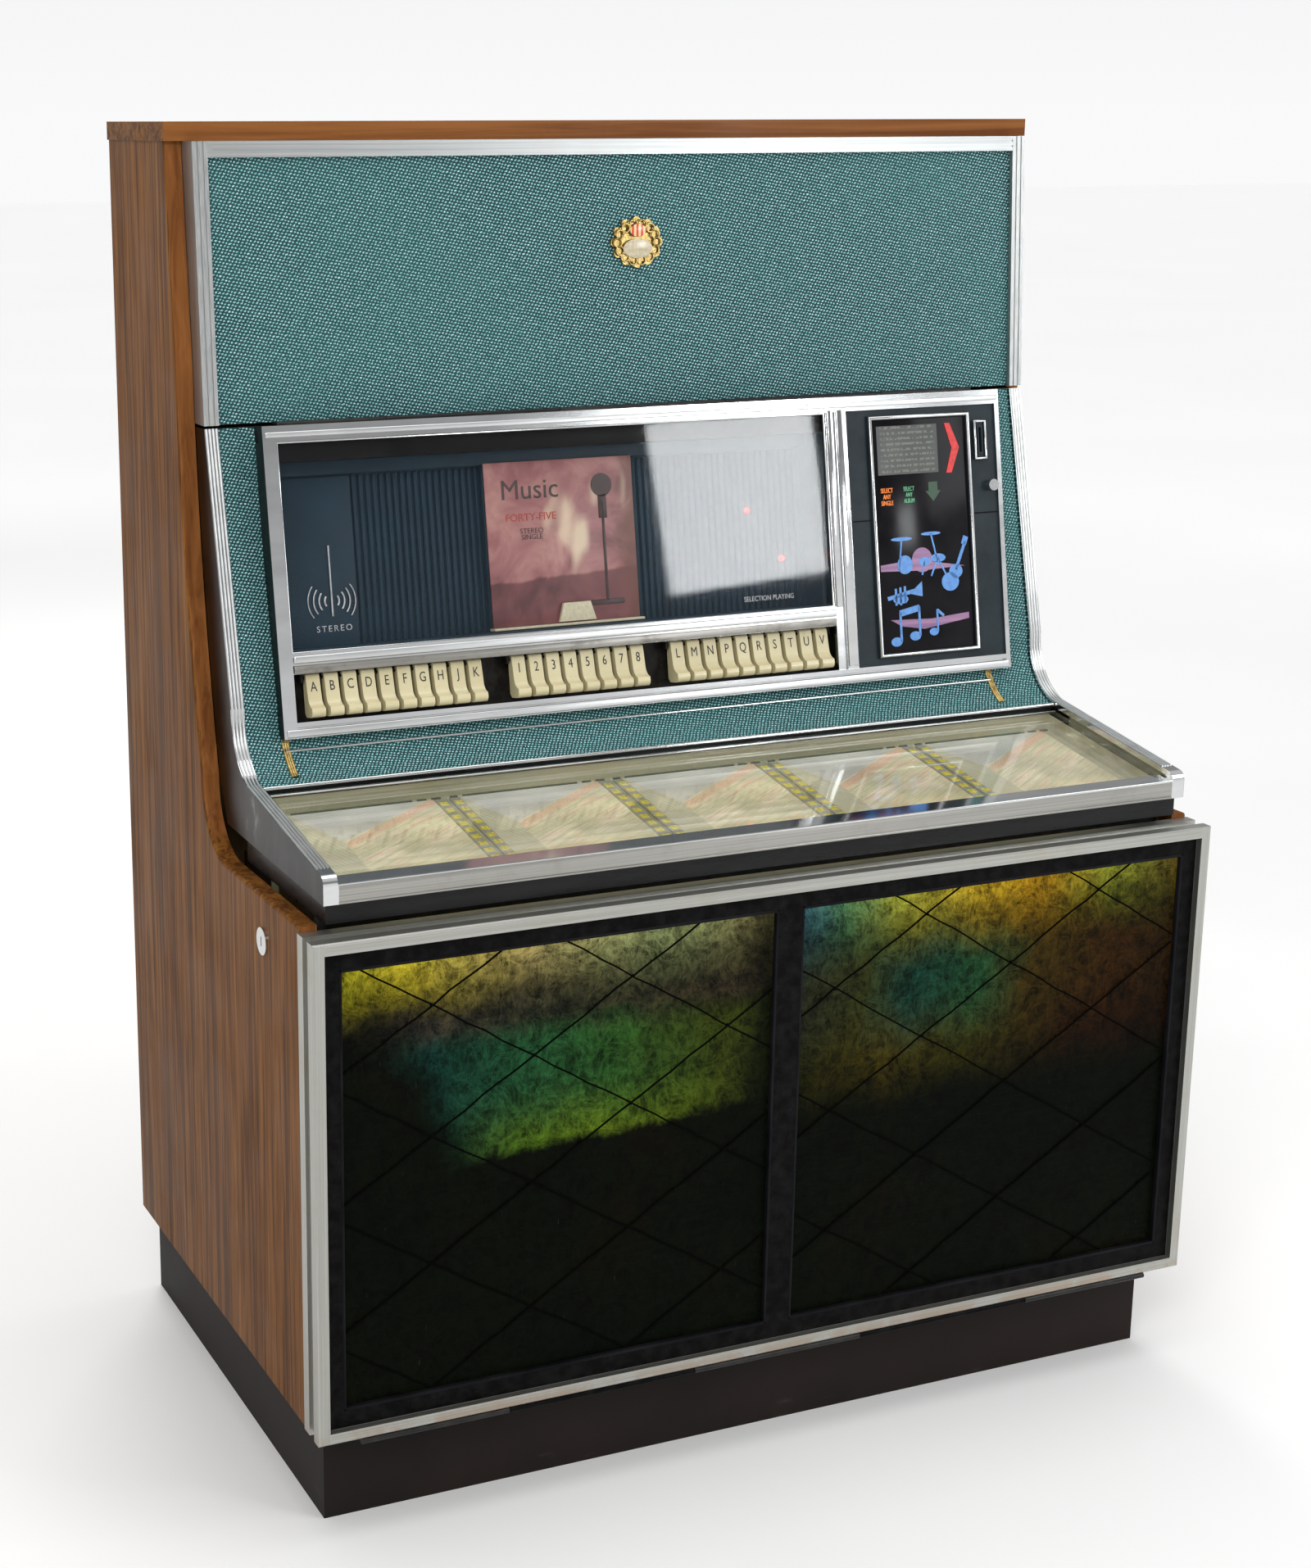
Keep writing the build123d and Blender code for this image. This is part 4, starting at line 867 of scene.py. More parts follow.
SLEEVE_LOW, SLEEVE_SIZE, SLEEVE_X, SLEEVE_D = -0.0610, 0.1760, -0.0955, 0.0430
paint = Finish("sleeve_print")
spot = paint.place()
x, y, z = paint.split(spot)
blot = paint.noise(spot, 16.0, 5.0, 0.6, 0.8)
paper = paint.noise(spot, 190.0, 4.0, 0.6)
middle_z = 0.900 + (SLEEVE_LOW + SLEEVE_SIZE / 2) * math.cos(-SELECTOR_LEAN)
lower = 1.0 - (z - (x - SLEEVE_X) * 0.06 + blot * 0.012).rising(middle_z - 0.040, middle_z - 0.036)
pink = paint.ramp(blot, [(0.28, (0.130, 0.040, 0.048)), (0.48, (0.270, 0.105, 0.115)),
                         (0.66, (0.400, 0.205, 0.190)), (0.80, (0.620, 0.500, 0.400))])
maroon = paint.tones(blot, (0.060, 0.016, 0.022), (0.200, 0.062, 0.070))
print_colour = paint.mix(lower, pink, maroon)
right_dark = (x - (blot - 0.5) * 0.05).rising(SLEEVE_X + 0.058, SLEEVE_X + 0.086)
print_colour = paint.mix(right_dark * 0.75, print_colour, (0.115, 0.045, 0.034))
cream_light = paint.noise(paint.scaled(spot, (20.0, 20.0, 7.0)), 1.0, 2.0)
print_colour = paint.mix(cream_light.rising(0.56, 0.70) * (1.0 - lower) * 0.65, print_colour,
                         (0.72, 0.60, 0.44))
sleeve_glow = paint.mix(0.24, (0.0, 0.0, 0.0), print_colour)
SLEEVE = paint.coat(print_colour, paper * 0.2 + 0.28, 0.0, paint.bump(paper, 0.0001, 0.4),
                    emission_color=sleeve_glow, emission_strength=1.0)
sleeve = bar("record_sleeve", (SLEEVE_X - SLEEVE_SIZE / 2, SLEEVE_D, SLEEVE_LOW),
             (SLEEVE_X + SLEEVE_SIZE / 2, SLEEVE_D + 0.0022, SLEEVE_LOW + SLEEVE_SIZE), 0.0006)
place(sleeve, SELECTOR, SLEEVE, "lid", "slate_plastic")

DARK_INK = plain_finish("sleeve_dark_ink", 90.0, (0.020, 0.010, 0.012), (0.060, 0.026, 0.030), (0.2, 0.3),
                        4.0)
MIC_X, MIC_D = SLEEVE_X + 0.050, SLEEVE_D - 0.0006
stand = []
for half, low, high in ((0.0016, 0.020, 0.128), (0.020, 0.016, 0.022), (0.0050, 0.110, 0.136)):
    stand.append(bar("stand", (MIC_X - half, MIC_D, SLEEVE_LOW + low),
                     (MIC_X + half, MIC_D + 0.0010, SLEEVE_LOW + high), 0.0004))
stand.append(round_plate((MIC_X, MIC_D + 0.0005, SLEEVE_LOW + 0.146), 0.0125, 0.0125, 0.0010, 32))
place(merge("sleeve_microphone", stand), SELECTOR, DARK_INK, "lid", "slate_plastic")

RED_INK = plain_finish("sleeve_red_ink", 90.0, (0.36, 0.025, 0.022), (0.50, 0.050, 0.035), (0.2, 0.3),
                       4.0)
for name, words, size, height, ink in (("sleeve_title", "Music", 0.030, 0.145, DARK_INK),
                                       ("sleeve_line", "FORTY-FIVE", 0.0115, 0.116, RED_INK),
                                       ("sleeve_small", "STEREO\nSINGLE", 0.0080, 0.098, DARK_INK)):
    written(name, words, size, (SLEEVE_X - 0.036, SLEEVE_D - 0.0004, SLEEVE_LOW + height), ink, "lid",
            SELECTOR, "slate_plastic")

CREAM_CARD = plain_finish("cream_card", 260.0, (0.56, 0.50, 0.37), (0.70, 0.64, 0.49), (0.2, 0.5), 4.0,
                          bump=(0.0001, 0.4))
tab = bar("sleeve_tab", (SLEEVE_X - 0.0120, SLEEVE_D - 0.0060, SLEEVE_LOW + 0.0015),
          (SLEEVE_X + 0.0320, SLEEVE_D - 0.0020, SLEEVE_LOW + 0.0215), 0.0)
for vertex in tab.data.vertices:
    if vertex.co.z > SLEEVE_LOW + 0.012:
        vertex.co.x += 0.0060 if vertex.co.x < SLEEVE_X + 0.010 else -0.0060
shelf = bar("shelf", (SLEEVE_X - 0.0900, SLEEVE_D - 0.0080, SLEEVE_LOW - 0.0030),
            (SLEEVE_X + 0.0900, SLEEVE_D + 0.0060, SLEEVE_LOW - 0.0002), 0.0008)
place(merge("sleeve_rest", [tab, shelf]), SELECTOR, CREAM_CARD, "lid", "slate_plastic")

paint = Finish("red_lamp")
spot = paint.place()
facet = paint.noise(spot, 900.0, 2.0)
red_glow = paint.tones(facet, (0.60, 0.01, 0.01), (1.0, 0.06, 0.05))
RED_LAMP = paint.coat((0.30, 0.01, 0.01), 0.2, emission_color=red_glow, emission_strength=2.2)
lamps = [ball((lamp_x, WALL_D - 0.004, lamp_h), 0.0034, 20, 12)
         for lamp_x, lamp_h in ((0.140, 0.046), (0.181, -0.010))]
place(merge("red_pilot_lamps", lamps), SELECTOR, RED_LAMP, "lid", "slate_plastic")

paint = Finish("window_glass")
spot = paint.place()
smudge = paint.noise(spot, 6.0, 4.0, 0.6)
clear = paint.node("ShaderNodeBsdfTransparent", sockets={0: (0.955, 0.960, 0.945, 1.0)})
gloss = paint.node("ShaderNodeBsdfGlossy", sockets={"Color": (1.0, 1.0, 1.0, 1.0),
                                                    "Roughness": smudge * 0.05 + 0.01})
facing = paint.node("ShaderNodeFresnel", sockets={"IOR": 1.5})
pane = paint.node("ShaderNodeMixShader", sockets={0: facing * 0.26, 1: clear, 2: gloss})
WINDOW_GLASS = paint.close(pane)
dress(WINDOW_GLASS, "display_glass")

# ---- Selector keys -------------------------------------------------------------------------
# Ivory moulded keys in three rows of letters and numbers on a black bed. Each letter is filled
# with dark ink and moves with its own key.
paint = Finish("key_ivory")
spot = paint.place()
grime = paint.noise(spot, 120.0, 5.0, 0.7)
tone = paint.noise(spot, 9.0, 2.0)
ivory = paint.tones(tone, (0.49, 0.43, 0.25), (0.60, 0.54, 0.34))
ivory = paint.mix(grime.rising(0.55, 0.75) * 0.4, ivory, (0.34, 0.28, 0.15))
IVORY = paint.coat(ivory, grime * 0.2 + 0.22, 0.0, paint.bump(grime, 0.00008, 0.3), coat_weight=0.3,
                   coat_roughness=0.12)
KEY_INK = plain_finish("key_ink", 500.0, (0.004, 0.004, 0.004), (0.018, 0.016, 0.014), (0.2, 0.4))
KEY_PITCH, KEY_WIDTH = 0.0202, 0.0150
KEY_GROUPS = ((-0.412, "ABCDEFGHJK"), (-0.180, "12345678"), (0.010, "LMNPQRSTUV"))
LETTER_H, LETTER_SIZE = -0.1035, 0.0148
KEY_FACE_LEAN = math.atan2(0.0035, 0.0235)
for start, letters in KEY_GROUPS:
    for number, letter in enumerate(letters):
        body = "key_" + letter.lower()
        dress(IVORY, body)
        middle = start + number * KEY_PITCH + KEY_WIDTH / 2
        face_d = 0.0100 - (-0.092 - LETTER_H) * math.tan(KEY_FACE_LEAN) - 0.00005
        on_face = (SELECTOR @ Matrix.Translation((middle, face_d, LETTER_H))
                   @ Matrix.Rotation(-KEY_FACE_LEAN, 4, "X"))
        written("letter_" + letter.lower(), letter, LETTER_SIZE, (0, 0, 0), KEY_INK, body, on_face, "ivory",
                stretch=0.74)

KEY_BED = plain_finish("key_bed_plastic", 60.0, (0.004, 0.004, 0.004), (0.024, 0.020, 0.016), (0.3, 0.30),
                       5.0, 0.7, bump=(0.0001, 0.3), specular_ior_level=0.08, span=(0.35, 0.75))
dress(KEY_BED, "key_bed")

# ---- Coin panel ------------------------------------------------------------------------------
# A slate-black moulding with a plated frame round a black glass: an instruction card, lit words
# and a red arrow above, a printed group of instruments below. Coin slot and return button beside.
WINDOW_LEFT, WINDOW_RIGHT, WINDOW_LOW, WINDOW_HIGH = 0.268, 0.402, -0.130, 0.141
paint = Finish("coin_panel_finish")
spot = paint.place()
grain = paint.noise(spot, 420.0, 3.0)
dust = paint.noise(spot, 20.0, 5.0, 0.7)
slate = paint.tones(dust, (0.010, 0.016, 0.020), (0.022, 0.031, 0.037))
COIN_SLATE = paint.coat(slate, grain * 0.1 + 0.34, 0.0, paint.bump(grain, 0.0001, 0.35),
                        specular_ior_level=0.12)
dress(COIN_SLATE, "coin_panel")

GLASS_D = 0.0012
black_glass = bar("coin_glass", (WINDOW_LEFT + 0.0052, GLASS_D, WINDOW_LOW + 0.0052),
                  (WINDOW_RIGHT - 0.0052, 0.0025, WINDOW_HIGH - 0.0052), 0.0002)
BLACK_GLASS = plain_finish("black_glass", 30.0, (0.003, 0.003, 0.004), (0.009, 0.008, 0.010),
                           (0.10, 0.10), 4.0, specular_ior_level=0.10)
place(black_glass, SELECTOR, BLACK_GLASS, "lid", "glass")

RING_INSET, SLOT_RIM_D = 0.0025, -0.0010
window_ring = ring_round("coin_window_ring", WINDOW_LEFT + RING_INSET, WINDOW_RIGHT - RING_INSET,
                         WINDOW_LOW + RING_INSET, WINDOW_HIGH - RING_INSET, 0.0002, 0.0031, 14)
slot_rim = ring_round("coin_slot_rim", 0.4080, 0.4220, 0.0870, 0.1290, SLOT_RIM_D, 0.0019, 10)
divider_a = bar("divider_bar", (0.2160, -0.0012, -0.0680), (0.2235, 0.0010, 0.1500), 0.0015, 3)
divider_b = bar("divider_edge", (0.2280, -0.0008, -0.1350), (0.2400, 0.0010, 0.1500), 0.0010, 3)
coin_trim = merge("coin_panel_trim", [window_ring, slot_rim, divider_a, divider_b])
place(coin_trim, SELECTOR, CHROME, "lid", "chrome", 50.0)
dress(CHROME, "coin_button", "lock_plug")
seams = [bar("seam", (start, 0.0022, 0.0245), (end, 0.0031, 0.0260), 0.0)
         for start, end in ((WINDOW_LEFT - 0.026, WINDOW_LEFT - 0.001),
                            (WINDOW_RIGHT + 0.001, WINDOW_RIGHT + 0.034))]
place(merge("coin_panel_seam", seams), SELECTOR, MASK_BLACK, "lid", "slate_plastic")

paint = Finish("instruction_card")
spot = paint.place()
x, y, z = paint.split(spot)
rows = (z * 1050.0).sine().rising(0.10, 0.35)
breaks = paint.noise(paint.join(x * 260.0, 0.0, z * 170.0), 1.0, 1.0).rising(0.45, 0.50)
edge_fade = (1.0 - x.rising(0.352, 0.356)) * x.rising(0.282, 0.286)
soft = paint.noise(spot, 40.0, 3.0)
card = paint.tones(soft, (0.014, 0.018, 0.015), (0.032, 0.036, 0.030))
card = paint.mix(rows * breaks * edge_fade * 0.70, card, (0.120, 0.125, 0.085))
CARD = paint.coat(card, 0.35, 0.0, paint.bump(soft, 0.0001, 0.2))
place(bar("instruction_card", (0.2790, GLASS_D - 0.0005, 0.0745), (0.3585, GLASS_D + 0.0002, 0.1290), 0.0),
      SELECTOR, CARD, "lid", "slate_plastic")


def lit(name, colour, strength):
    """A lamp showing through coloured film, a little uneven."""
    paint = Finish(name)
    uneven = paint.noise(paint.place(), 240.0, 2.0)
    low = tuple(channel * 0.55 for channel in colour)
    glow = paint.ramp(uneven, [(0.3, low), (0.6, colour)])
    base = tuple(channel * 0.15 for channel in colour)
    return paint.coat(base, 0.4, emission_color=glow, emission_strength=strength)


ORANGE_LIT = lit("orange_film", (1.0, 0.24, 0.02), 1.3)
GREEN_LIT = lit("green_film", (0.16, 0.58, 0.30), 0.8)
DIM_GREEN = lit("dim_green_film", (0.01, 0.16, 0.04), 0.16)
RED_LIT = lit("red_film", (0.75, 0.010, 0.006), 0.85)
TEXT_D = GLASS_D - 0.0004
written("lit_single", "SELECT\nANY\nSINGLE", 0.0074, (0.2890, TEXT_D, 0.0500), ORANGE_LIT, "lid", SELECTOR,
        "glass", stretch=0.66, line=0.95)
written("lit_album", "SELECT\nANY\nALBUM", 0.0070, (0.3180, TEXT_D, 0.0510), GREEN_LIT, "lid", SELECTOR,
        "glass", stretch=0.62, line=0.95)


def flat_shape(name, corners, depth, thickness=0.0005):
    """A flat cut shape facing the player, from its corners as (x, height)."""
    bpy.ops.mesh.primitive_circle_add(vertices=len(corners), radius=1.0, fill_type="NGON")
    shape = bpy.context.object
    shape.name = name
    for vertex, (corner_x, corner_h) in zip(shape.data.vertices, corners):
        vertex.co = (corner_x, depth, corner_h)
    bpy.ops.object.mode_set(mode="EDIT")
    bpy.ops.mesh.select_all(action="SELECT")
    bpy.ops.mesh.extrude_region_move(TRANSFORM_OT_translate={"value": (0, thickness, 0)})
    bpy.ops.mesh.select_all(action="SELECT")
    bpy.ops.mesh.normals_make_consistent(inside=False)
    bpy.ops.object.mode_set(mode="OBJECT")
    return shape


arrow_head = flat_shape("red_arrow", [(0.3690, 0.1290), (0.3760, 0.1290), (0.3875, 0.1010), (0.3760, 0.0730),
                                      (0.3690, 0.0730), (0.3775, 0.1010)], TEXT_D)
place(arrow_head, SELECTOR, RED_LIT, "lid", "glass")
green_arrow = flat_shape("green_arrow", [(0.3440, 0.0640), (0.3560, 0.0640), (0.3560, 0.0540),
                                         (0.3600, 0.0540), (0.3500, 0.0420), (0.3400, 0.0540),
                                         (0.3440, 0.0540)], TEXT_D)
place(green_arrow, SELECTOR, DIM_GREEN, "lid", "glass")

BLUE_PRINT = plain_finish("blue_print", 160.0, (0.040, 0.170, 0.470), (0.085, 0.260, 0.600), (0.2, 0.25))
MAUVE_PRINT = plain_finish("mauve_print", 1.0, (0.130, 0.055, 0.170), (0.300, 0.150, 0.270), (0.2, 0.25),
                           stretch=(10.0, 80.0, 260.0))


def disc(x_at, h_at, across_size, up_size, depth=TEXT_D, vertices=28):
    corners = [(x_at + across_size * math.cos(2 * math.pi * step / vertices),
                h_at + up_size * math.sin(2 * math.pi * step / vertices)) for step in range(vertices)]
    return flat_shape("disc", corners, depth)


def stroke(x0, h0, x1, h1, half, depth=TEXT_D):
    run = Vector((x1 - x0, h1 - h0)).normalized() * half
    return flat_shape("stroke", [(x0 - run.y, h0 + run.x), (x1 - run.y, h1 + run.x),
                                 (x1 + run.y, h1 - run.x), (x0 + run.y, h0 - run.x)], depth)


drums = [disc(0.3080, -0.0270, 0.0100, 0.0105), disc(0.3340, -0.0250, 0.0080, 0.0050),
         disc(0.3520, -0.0220, 0.0100, 0.0048), disc(0.3050, 0.0020, 0.0140, 0.0022),
         disc(0.3440, 0.0060, 0.0130, 0.0020), stroke(0.3050, 0.0020, 0.3000, -0.0340, 0.0010),
         stroke(0.3440, 0.0060, 0.3520, -0.0300, 0.0010), stroke(0.3520, -0.0220, 0.3420, -0.0420, 0.0010),
         stroke(0.3520, -0.0220, 0.3620, -0.0420, 0.0010), stroke(0.3340, -0.0250, 0.3300, -0.0400, 0.0010)]
guitar = [disc(0.3670, -0.0500, 0.0115, 0.0105), disc(0.3750, -0.0385, 0.0088, 0.0080),
          stroke(0.3750, -0.0370, 0.3890, -0.0060, 0.0019), stroke(0.3870, -0.0090, 0.3905, 0.0000, 0.0034)]
horn = [stroke(0.2830, -0.0640, 0.3180, -0.0570, 0.0022), disc(0.3000, -0.0655, 0.0100, 0.0052),
        flat_shape("bell", [(0.3120, -0.0600), (0.3290, -0.0470), (0.3290, -0.0640)], TEXT_D),
        stroke(0.2940, -0.0530, 0.2940, -0.0720, 0.0014), stroke(0.3000, -0.0520, 0.3000, -0.0720, 0.0014),
        stroke(0.3060, -0.0510, 0.3060, -0.0700, 0.0014)]
notes = [disc(0.2920, -0.1130, 0.0072, 0.0052), disc(0.3170, -0.1080, 0.0072, 0.0052),
         stroke(0.2985, -0.1130, 0.2985, -0.0800, 0.0014), stroke(0.3235, -0.1080, 0.3235, -0.0750, 0.0014),
         stroke(0.2980, -0.0815, 0.3240, -0.0765, 0.0036), disc(0.3420, -0.1050, 0.0060, 0.0044),
         stroke(0.3474, -0.1050, 0.3474, -0.0800, 0.0012), stroke(0.3474, -0.0805, 0.3560, -0.0880, 0.0016)]
place(merge("printed_instruments", drums + guitar + horn + notes), SELECTOR, BLUE_PRINT, "lid", "glass")
BACK_D = TEXT_D + 0.0003
washes = [flat_shape("wash", [(0.2760, -0.0260), (0.3200, -0.0220), (0.3880, -0.0330), (0.3300, -0.0350),
                              (0.2760, -0.0330)], BACK_D),
          flat_shape("wash", [(0.2860, -0.0880), (0.3400, -0.0900), (0.3900, -0.0860), (0.3900, -0.0930),
                              (0.3300, -0.1010), (0.3000, -0.0960)], BACK_D),
          disc(0.3310, -0.0230, 0.0135, 0.0140, TEXT_D + 0.0001)]
place(merge("printed_washes", washes), SELECTOR, MAUVE_PRINT, "lid", "glass")

# ---- Strips below the selector -------------------------------------------------------------
# A thin plated line is pinned to the cloth under the selector frame, and two narrow brass strips
# cover the joins in the cloth on either side of it.


def cloth_at(height, lift):
    """Place on the cloth's front at a height, as (y, z), lifted towards the player."""
    front = lid_line(CLOTH_SINK - lift)
    for (d0, z0), (d1, z1) in zip(front, front[1:]):
        if z1 <= height <= z0:
            share = (z0 - height) / (z0 - z1)
            return d0 + (d1 - d0) * share - FRONT_SHIFT, height
    return front[-1][0] - FRONT_SHIFT, front[-1][1]


line_y, line_z = cloth_at(0.7345, 0.0014)
pinned_line = rod_along("pinned_line", [(-0.4400, line_y, line_z), (0.4180, line_y, line_z)], 0.0017, 8)
place(pinned_line, Matrix.Identity(4), CHROME, "lid", "chrome", 60.0)
strips = []
for strip_x in (-0.4385, 0.4190):
    for offset in (-0.0024, 0.0, 0.0024):
        run = [(strip_x + offset, *cloth_at(0.7445 - 0.0031 * step, 0.0010)) for step in range(11)]
        strips.append(rod_along("strip", run, 0.0018, 6))
place(merge("brass_cover_strips", strips), Matrix.Identity(4), BADGE_BRASS, "lid", "brass", 60.0)

# ---- Title deck ------------------------------------------------------------------------------
# A cream tray under plain glass holds five pages of title strips, lit from below. Between the
# pages run slate dividers with two columns of lit selection blocks.
DECK = Matrix.Translation((0, -0.280, 0.67747)) @ Matrix.Rotation(DECK_SLOPE, 4, "X")
dress(WINDOW_GLASS, "deck_glass")

paint = Finish("tray_enamel_and_glow")
spot = paint.place()
stain = paint.noise(paint.scaled(spot, (4.0, 30.0, 60.0)), 1.0, 5.0, 0.65)
dirt = paint.noise(spot, 60.0, 5.0, 0.7)
cream = paint.tones(stain, (0.240, 0.222, 0.155), (0.410, 0.385, 0.290))
cream = paint.mix(dirt.rising(0.55, 0.75) * 0.35, cream, (0.12, 0.11, 0.07))
# Painted glow: the tray's emission stands in for the lamps below it.
warm = paint.tones(stain, (0.120, 0.115, 0.070), (0.190, 0.180, 0.120))
TRAY = paint.coat(cream, stain * 0.2 + 0.30, 0.2, paint.bump(dirt, 0.0001, 0.3), emission_color=warm,
                  emission_strength=0.9)
dress(TRAY, "title_tray")

PAGE_START, PAGE_PITCH, PAGE_WIDE = -0.470, 0.1888, 0.1848
PAGE_NEAR, PAGE_FAR, PAGE_TOP = 0.040, 0.208, -0.0298
paint = Finish("title_page")
u, v = paint.split(paint.place("UV"))[:2]
flat = paint.join(u, v, 0.0)
FOLD_U, FOLD_V, LEFT_RISE, RIGHT_RISE = 0.22, 0.53, -2.2, 0.60
beside = u - FOLD_U
above_fold = v - (beside * RIGHT_RISE).most(beside * LEFT_RISE) - FOLD_V
right_half = beside.rising(-0.006, 0.006)
STRIPES, FULL_TURN = 13.0, 6.283
stripe_run = above_fold * STRIPES
stripe_tone = paint.noise(paint.join(u * 1.6 + right_half * 5.0, stripe_run, 0.0), 1.0, 3.0, 0.6, 0.2)
pastel = paint.ramp(stripe_tone, [(0.30, (0.350, 0.225, 0.190)), (0.42, (0.450, 0.370, 0.255)),
                                  (0.52, (0.350, 0.340, 0.215)), (0.62, (0.500, 0.430, 0.315)),
                                  (0.76, (0.400, 0.250, 0.210))])
greyed = paint.mix(0.60, pastel, (0.270, 0.270, 0.205))
pastel = paint.mix(right_half, greyed, pastel)
line_cut = (stripe_run * FULL_TURN).sine().rising(0.80, 0.97)
pastel = paint.mix(line_cut * (0.55 - right_half * 0.30), pastel, (0.140, 0.130, 0.095))
print_specks = paint.noise(paint.join(u * 60.0, stripe_run * 3.0, 0.0), 1.0, 2.0).rising(0.60, 0.66)
pastel = paint.mix(print_specks * 0.25, pastel, (0.16, 0.13, 0.10))
hatch = ((u * 0.35 - v) * 190.0).sine().rising(0.0, 0.9)
pale = paint.mix(hatch * 0.20, (0.360, 0.352, 0.325), (0.235, 0.230, 0.205))
page = paint.mix(above_fold.rising(-0.006, 0.006), pastel, pale)
on_edge = (1.0 - abs(above_fold + 0.055).rising(0.034, 0.046)) * right_half
band_print = paint.noise(paint.join(u * 90.0, v * 90.0, 0.0), 1.0, 2.0)
red_band = paint.tones(band_print, (0.430, 0.190, 0.115), (0.480, 0.370, 0.270), 0.40, 0.62)
page = paint.mix(on_edge * 0.75, page, red_band)
page = paint.mix((1.0 - v.rising(0.0, 0.30)) * 0.35, page, (0.560, 0.480, 0.200))
glow_patch = paint.noise(flat, 2.4, 2.0)
page_glow = paint.mix(glow_patch.rising(0.2, 0.8) * 0.6 + 0.20, (0.0, 0.0, 0.0), page)
TITLE_PAGE = paint.coat(page, 0.35, 0.0, emission_color=page_glow, emission_strength=1.35)

DIVIDER = plain_finish("page_divider", 300.0, (0.270, 0.270, 0.225), (0.350, 0.345, 0.290), (0.2, 0.35),
                       metallic=0.1, bump=(0.0001, 0.3))
YELLOW_LIT = lit("yellow_block", (0.80, 0.66, 0.07), 0.75)
dividers, blocks, rear_lines = [], [], []
BLOCK_ROWS, BLOCK_PITCH = 9, 0.0165
BLOCK_MARKS = ((0.0020, 0.0055, 0.0, 0.0085), (0.0050, 0.0100, 0.0, 0.0032),
               (0.0068, 0.0100, 0.0045, 0.0085))
PAGE_MARGIN = 0.012
for number in range(5):
    left = PAGE_START + number * PAGE_PITCH
    page_piece = bar("title_page_%d" % (number + 1), (left + PAGE_MARGIN, PAGE_NEAR + 0.001, PAGE_TOP),
                     (left + PAGE_WIDE - PAGE_MARGIN, PAGE_FAR - 0.006, PAGE_TOP + 0.0012), 0.0)
    layer = page_piece.data.uv_layers.active
    for loop in page_piece.data.loops:
        corner = page_piece.data.vertices[loop.vertex_index].co
        layer.data[loop.index].uv = ((corner.x - left - PAGE_MARGIN) / (PAGE_WIDE - 2 * PAGE_MARGIN),
                                     (corner.y - PAGE_NEAR) / (PAGE_FAR - PAGE_NEAR))
    place(page_piece, DECK, TITLE_PAGE, "lid", "tray_white")
    for strip in (left + 0.0005, left + PAGE_WIDE - 0.0125):
        if number == 4 and strip > left + 0.1:
            continue
        dividers.append(bar("divider", (strip, PAGE_NEAR, PAGE_TOP - 0.0001),
                            (strip + 0.012, PAGE_FAR - 0.008, PAGE_TOP + 0.0022), 0.0006))
        for row in range(BLOCK_ROWS):
            near = PAGE_NEAR + 0.010 + row * BLOCK_PITCH
            for start, end, low, high in BLOCK_MARKS:
                blocks.append(bar("block", (strip + start, near + low, PAGE_TOP + 0.0018),
                                  (strip + end, near + high, PAGE_TOP + 0.0030), 0.0))
    for start, end in ((0.004, 0.012), (0.018, 0.150), (0.156, 0.166), (0.172, 0.182)):
        rear_lines.append(bar("line", (left + start, PAGE_FAR - 0.0045, PAGE_TOP),
                              (left + end, PAGE_FAR - 0.0020, PAGE_TOP + 0.0016), 0.0))
place(merge("page_dividers", dividers), DECK, DIVIDER, "lid", "tray_white")
place(merge("selection_blocks", blocks), DECK, YELLOW_LIT, "lid", "tray_white")
OLIVE_LINE = plain_finish("dark_olive_line", 200.0, (0.045, 0.060, 0.030), (0.100, 0.110, 0.060),
                          (0.2, 0.4))
place(merge("page_rear_lines", rear_lines), DECK, OLIVE_LINE, "lid", "tray_white")

back_line = rod_along("deck_back_line", [(-0.4785, 0.2165, -0.0030), (0.4785, 0.2165, -0.0030)], 0.0020, 8)
back_lip = bar("deck_back_lip", (-0.4785, 0.2090, -0.0098), (0.4785, 0.2160, -0.0080), 0.0005)
place(merge("deck_back_trim", [back_line, back_lip]), DECK, CHROME, "lid", "chrome", 50.0)

paint = Finish("satin_nose")
spot = paint.place()
drawn = paint.noise(paint.scaled(spot, (3.0, 600.0, 600.0)), 1.0, 4.0, 0.6)
dirt = paint.noise(spot, 20.0, 6.0, 0.7)
grey = paint.tones(drawn, (0.30, 0.295, 0.27), (0.42, 0.41, 0.385))
grey = paint.mix(dirt.rising(0.5, 0.75) * 0.4, grey, (0.26, 0.24, 0.20))
SATIN_NOSE = paint.coat(grey, drawn * 0.18 + 0.26, 1.0, paint.bump(drawn, 0.00005, 0.4))
lip = bar("nose_lip", (-0.4788, -0.2804, 0.6515), (0.4788, -0.2790, 0.6685), 0.0006)
lip_b = bar("nose_foot", (-0.4788, -0.2812, 0.6502), (0.4788, -0.2790, 0.6525), 0.0006)
place(merge("deck_nose_lip", [lip, lip_b]), Matrix.Identity(4), SATIN_NOSE, "lid", "aluminium")

